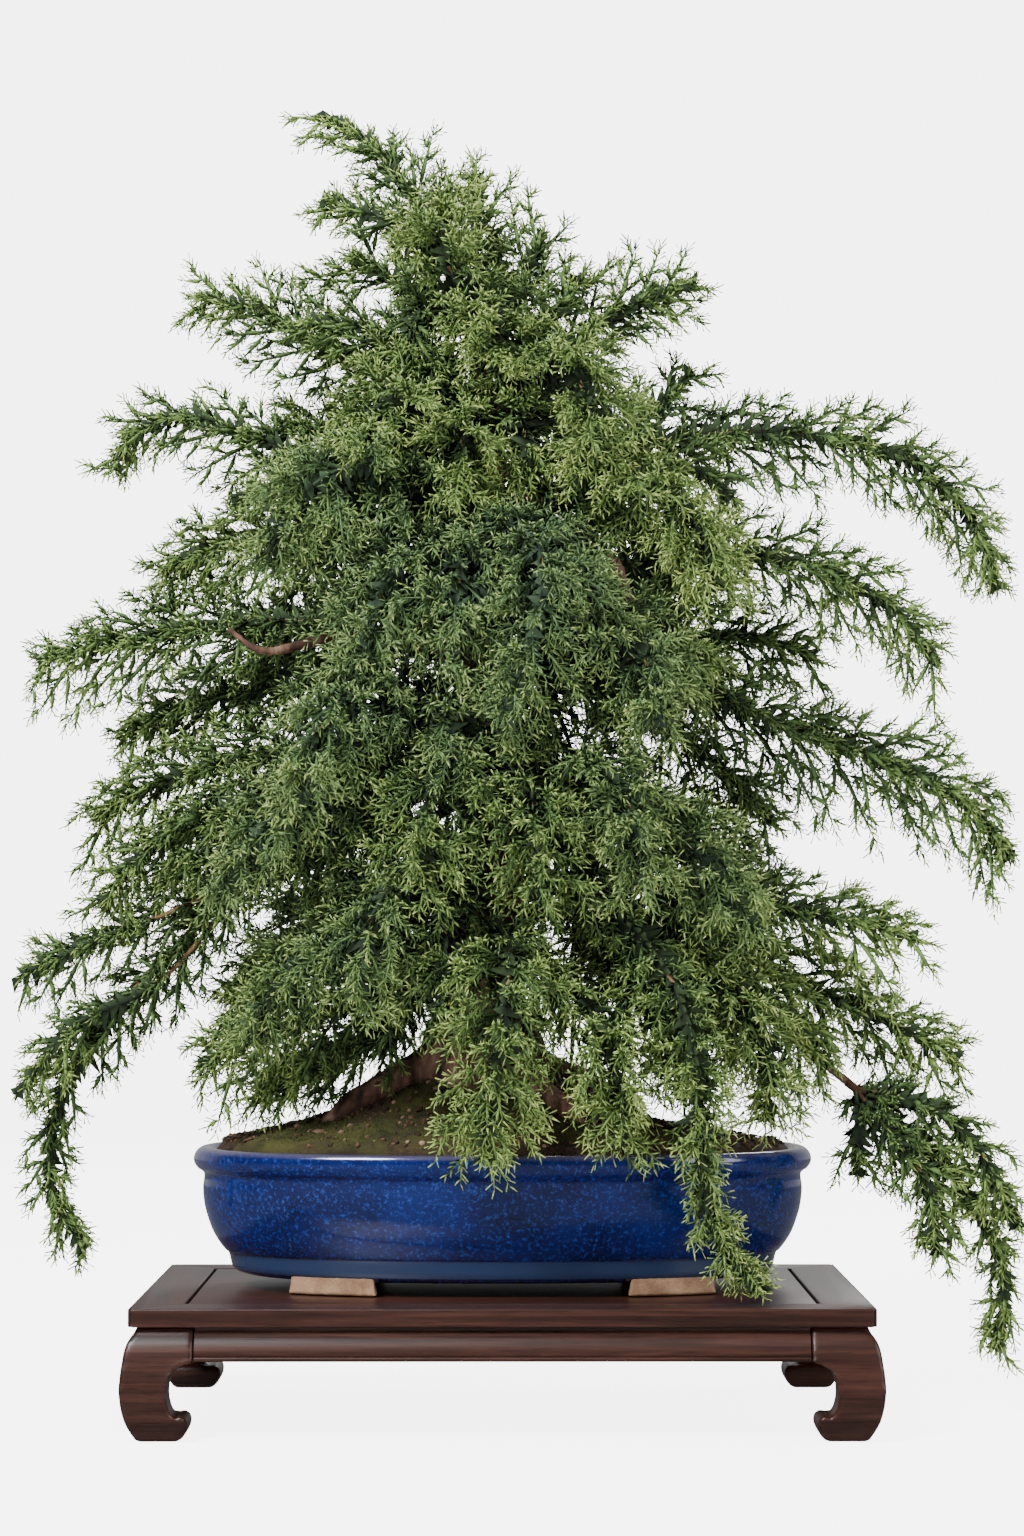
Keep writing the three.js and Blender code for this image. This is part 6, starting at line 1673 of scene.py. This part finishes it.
def coreOf(row, look, grid, low):
    # the inner foliage along a stem: a slim tube whose every face rises to a pointed twig, long where hidden; the tube
    # is painted near-black as shade and the twigs darker the more hidden they are
    v = coreValues
    places, _ = evenRow([tuple(p) for p in row[::6]] + [tuple(row[-1])], v["step"])
    places = places[:, :3]
    hidden = hiddenPart(openness(places, grid, low), look)
    along, side, over = stemFrames(places)
    sides, count = v["sides"], len(places)
    share = np.linspace(0, 1, count)
    slim = v["slim"] if look["fine"] else 1
    radii = (v["radius"] + (v["radiusEnd"] - v["radius"]) * share) * slim
    angles = np.arange(sides) * 2 * math.pi / sides
    ring = (places[:, None] + radii[:, None, None] * (np.cos(angles)[None, :, None] * side[:, None]
            + np.sin(angles)[None, :, None] * over[:, None]))
    # the tube is painted near-black, as shade
    points, triangles, ages = [ring.reshape(-1, 3)], [], [np.full(count * sides, v["tubeShade"])]
    k = np.arange(sides)
    following = (k + 1) % sides
    offset = count * sides
    for index in range(count - 1):
        a, b = index * sides + k, index * sides + following
        c, d = b + sides, a + sides
        corners = points[0][np.stack([a, b, c, d])]
        middle = corners.mean(0)
        out = unit(middle - (places[index] + places[index + 1]) / 2)
        swing = rng.normal(0, v["swing"], (sides, 3))
        way = unit(out + along[index] * v["lean"] + swing - np.array([0, 0, v["sag"]]))
        longest = v["long"] + (v["hiddenLong"] - v["long"]) * hidden[index]
        long = longest * rng.uniform(*v["longs"], sides) * (1 - v["shorter"] * share[index]) * slim
        tips = middle + way * long[:, None]
        bad = ~isClear(tips, 0.003)
        tips[bad] = middle[bad] + out[bad] * 0.001
        points.append(tips)
        # the twigs are painted darker the more hidden they are, as shade, and take a share of the spray's painted light
        # and shade
        ages.append(np.full(sides, v["age"] * (1 - hidden[index])) + look["bright"] * 0.4)
        apex = offset + k
        offset += sides
        for one, two in ((a, b), (b, c), (c, d), (d, a)):
            triangles.append(np.stack([one, two, apex], axis=1))
    points.append(places[[0, -1]])
    ages.append(np.array([v["tubeShade"], v["endAge"]]))
    triangles += endFans((count - 1) * sides, offset, k, following)
    return np.concatenate(points), np.concatenate(triangles), np.clip(np.concatenate(ages), 0, 1)


def makeSpray(name, look, shoots, rows, grid, low):
    # points, triangles, how fresh each point is with its painted light and shade, and how woody
    parts = []
    for index, (line, row) in enumerate(rows):
        coarse, _ = evenRow(line, stemValues["step"])
        share = np.linspace(0, 1, len(coarse))
        thick = stemValues["start"] if index == 0 else stemValues["sideStart"]
        radii = thick + (stemValues["end"] - thick) * share ** 0.8
        points, triangles = tubeData(np.column_stack([coarse, radii]), stemValues["sides"])
        woody = np.concatenate([np.repeat(1 - 0.62 * share, stemValues["sides"]), [1, 0.4]])
        parts.append((points, triangles, np.zeros(len(points)), woody))
        leafy = row[int(look["bare"] * len(row)):]
        parts.append((*coreOf(leafy, look, grid, low), None))
    parts.append((*needlesOn(shoots, look), None))
    parts.append((*axesOf(shoots, look), None))
    points, triangles = stacked([part[:2] for part in parts])
    fresh = np.concatenate([part[2] for part in parts])
    woody = np.concatenate([np.zeros(len(part[0])) if part[3] is None else part[3] for part in parts])
    title = "".join(word.title() for word in name.split("_"))
    piece = meshFrom("spray" + title, points, triangles, fresh=fresh, woody=woody,
                     blue=np.full(len(points), look["blue"]))
    settle(piece, leaves, "spray_" + name)
    return piece


# painted light and shade on each spray, and how blue it is; those not named are plain, and those behind are painted
# darker
sprayLightAndShade = {
    "upper_front_right": 0.08, "second_front_right": 0.12, "skirt_front_centre": 0.1, "front_cascade": 0.13,
    "crown_leader": 0.08, "crown_front": 0.1, "upper_front_left": 0.1, "right_cascade": 0.08, "right_fan": 0.06,
    "upper_back": -0.1, "second_back_left": -0.1, "second_back_right": -0.1, "middle_back_left": -0.1,
    "middle_back": -0.12, "middle_back_right": -0.1, "lower_back_left": -0.1, "lower_back": -0.12,
    "lower_back_right": -0.1, "skirt_back_left": -0.08, "skirt_back": -0.1, "skirt_back_right": -0.08,
}
blueSprays = {"front_column": 0.2, "lower_front_right": 0.14, "middle_right_front": 0.16, "lower_left_front": 0.18,
              "second_front_left": 0.14, "skirt_front_left": 0.12}
# limbs that show against the backdrop have finer needles
fineSprays = ("crown_leader", "crown_right", "crown_left", "upper_left", "upper_right", "second_left", "second_right",
              "middle_far_left", "middle_left", "middle_right", "lower_left", "lower_right", "left_cascade",
              "right_cascade", "right_fan", "skirt_left")
# how strongly the branchlets droop; a negative number lifts them
droops = {"crown_leader": 0, "crown_right": -0.6, "crown_left": -0.2, "upper_left": 0.2, "upper_right": -0.8,
          "crown_front": 0.2, "crown_back": 0.2, "second_right": 0.7, "second_left": 0.8}
bareSprays = {"left_cascade": 0.45, "right_cascade": 0.12, "front_cascade": 0.1, "second_front_right": 0.1}


def lookOf(name):
    return {"bright": sprayLightAndShade.get(name, 0), "blue": blueSprays.get(name, 0.03), "fine": name in fineSprays,
            "droop": droops.get(name, 1.5 if "front" in name else 1), "bare": bareSprays.get(name, 0.03),
            "leafyWood": "cascade" not in name and name != "right_fan"}


def lookAround():
    # how open the view to each shoot is, now that all of them stand
    grid, low = coverGrid(every)
    for shoots in every:
        shoots.open = openness(shoots.middle, grid, low)
    return grid, low


looks = {name: lookOf(name) for name in sprays}
grown = {name: growSpray(data, looks[name]) for name, data in sprays.items()}
every = [shoots for shoots, _ in grown.values()]
lookAround()
for name, (shoots, _) in grown.items():
    sideShoots(shoots, shoots.ends > 0.5, valuesFor(branchletValues, looks[name]), "side")
lookAround()
for name, (shoots, _) in grown.items():
    v = branchletValues
    chosen = ((shoots.ends < 0.5) & (shoots.long > v["twigletFrom"][looks[name]["fine"]])
              & (shoots.open > v["twigletOpen"]))
    sideShoots(shoots, chosen, v, "twiglet")
cover, coverLow = lookAround()
print("shoots grown:", sum(len(shoots.long) for shoots in every), "in all",
      round(sum(shoots.long.sum() for shoots in every), 1), "m")
total = 0
for name, (shoots, rows) in grown.items():
    piece = makeSpray(name, looks[name], shoots, rows, cover, coverLow)
    total += len(piece.data.polygons)
print("sprays done:", total, "faces")


# Floor, light and camera

studioValues = {
    "floor": (16, 9, 1), "under": 0.0004, "floorGlow": 5.2, "backdropGlow": 5.6,
    # name, place, target, width across and power
    "lights": [("keyLight", (-1.6, -2.2, 2.6), (0, 0, 0.45), 1.2, 215),
               ("fillLight", (2.4, -1.8, 1.4), (0, 0, 0.45), 1.8, 45),
               ("backLight", (0.6, 2.2, 2.2), (0, 0, 0.6), 1.2, 50)],
    "lens": 86.2, "sensor": 36, "eye": (0, -2.764, 0.361), "turn": (92.475, 0, -0.147),
}


def makeFloor():
    # a wide pale floor, as bright as the backdrop behind it
    bpy.ops.object.select_all(action="DESELECT")
    bpy.ops.mesh.primitive_plane_add(size=1, location=(0, 0, 0))
    floor = bpy.context.object
    floor.name = "studioFloor"
    floor.scale = studioValues["floor"]
    floor.location = (0, 0, -studioValues["under"])
    bpy.ops.object.transform_apply(location=True, rotation=True, scale=True)
    material, tree, shader = newMaterial("paleFloor")
    # the floor shines to the eye as the backdrop does, and hardly lights the pot or shows in its glaze
    path = node(tree, "ShaderNodeLightPath")
    pale = mixColor(tree, path.outputs["Is Glossy Ray"], (0.85, 0.85, 0.85), (0.04, 0.04, 0.04))
    glow = mixColor(tree, path.outputs["Is Camera Ray"], (0.02, 0.02, 0.02), (1, 1, 1))
    feed(tree, shader, Roughness=0.8,
         **{"Base Color": pale, "Emission Color": glow, "Emission Strength": studioValues["floorGlow"]})
    floor.data.materials.append(material)
    return floor


makeFloor()

world = bpy.data.worlds.new("studio")
bpy.context.scene.world = world
world.use_nodes = True
# the backdrop shines brighter to the eye than it lights the tree, and what is mirrored is dim in front
sky = world.node_tree
background = next(n for n in sky.nodes if n.type == "BACKGROUND")
rays = node(sky, "ShaderNodeLightPath").outputs
direction = node(sky, "ShaderNodeTexCoord").outputs["Generated"]
split = node(sky, "ShaderNodeSeparateXYZ", Vector=direction)
behind = node(sky, "ShaderNodeMapRange", Value=split.outputs["Y"],
              **{"From Min": -0.1, "From Max": 0.5, "To Min": 0.03, "To Max": 0.45})
mirrored = node(sky, "ShaderNodeMapRange", Value=rays["Is Glossy Ray"], **{"To Min": 0.25, "To Max": behind.outputs[0]})
shine = node(sky, "ShaderNodeMapRange", Value=rays["Is Camera Ray"],
             **{"To Min": mirrored.outputs[0], "To Max": studioValues["backdropGlow"]})
feed(sky, background, Color=(1, 1, 1, 1), Strength=shine.outputs[0])


for lightName, place, target, size, power in studioValues["lights"]:
    light = bpy.data.lights.new(lightName, "AREA")
    light.shape = "DISK"
    light.size = size
    light.energy = power
    lamp = linked(lightName, light)
    lamp.location = place
    lamp.rotation_euler = (Vector(target) - Vector(place)).to_track_quat("-Z", "Y").to_euler()

camera = bpy.data.cameras.new("camera")
camera.lens = studioValues["lens"]
camera.sensor_fit = "VERTICAL"
camera.sensor_height = studioValues["sensor"]
viewer = linked("camera", camera)
viewer.location = Vector(studioValues["eye"]) + shift
viewer.rotation_euler = [math.radians(angle) for angle in studioValues["turn"]]
bpy.context.scene.camera = viewer
print("light and camera set")

counts = {piece.name: sum(len(face.vertices) - 2 for face in piece.data.polygons) for piece in bpy.data.objects
          if piece.type == "MESH" and piece.get("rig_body") and not piece.get("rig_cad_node")}
print("added faces", sum(counts.values()), "most in one piece", max(counts.values()))
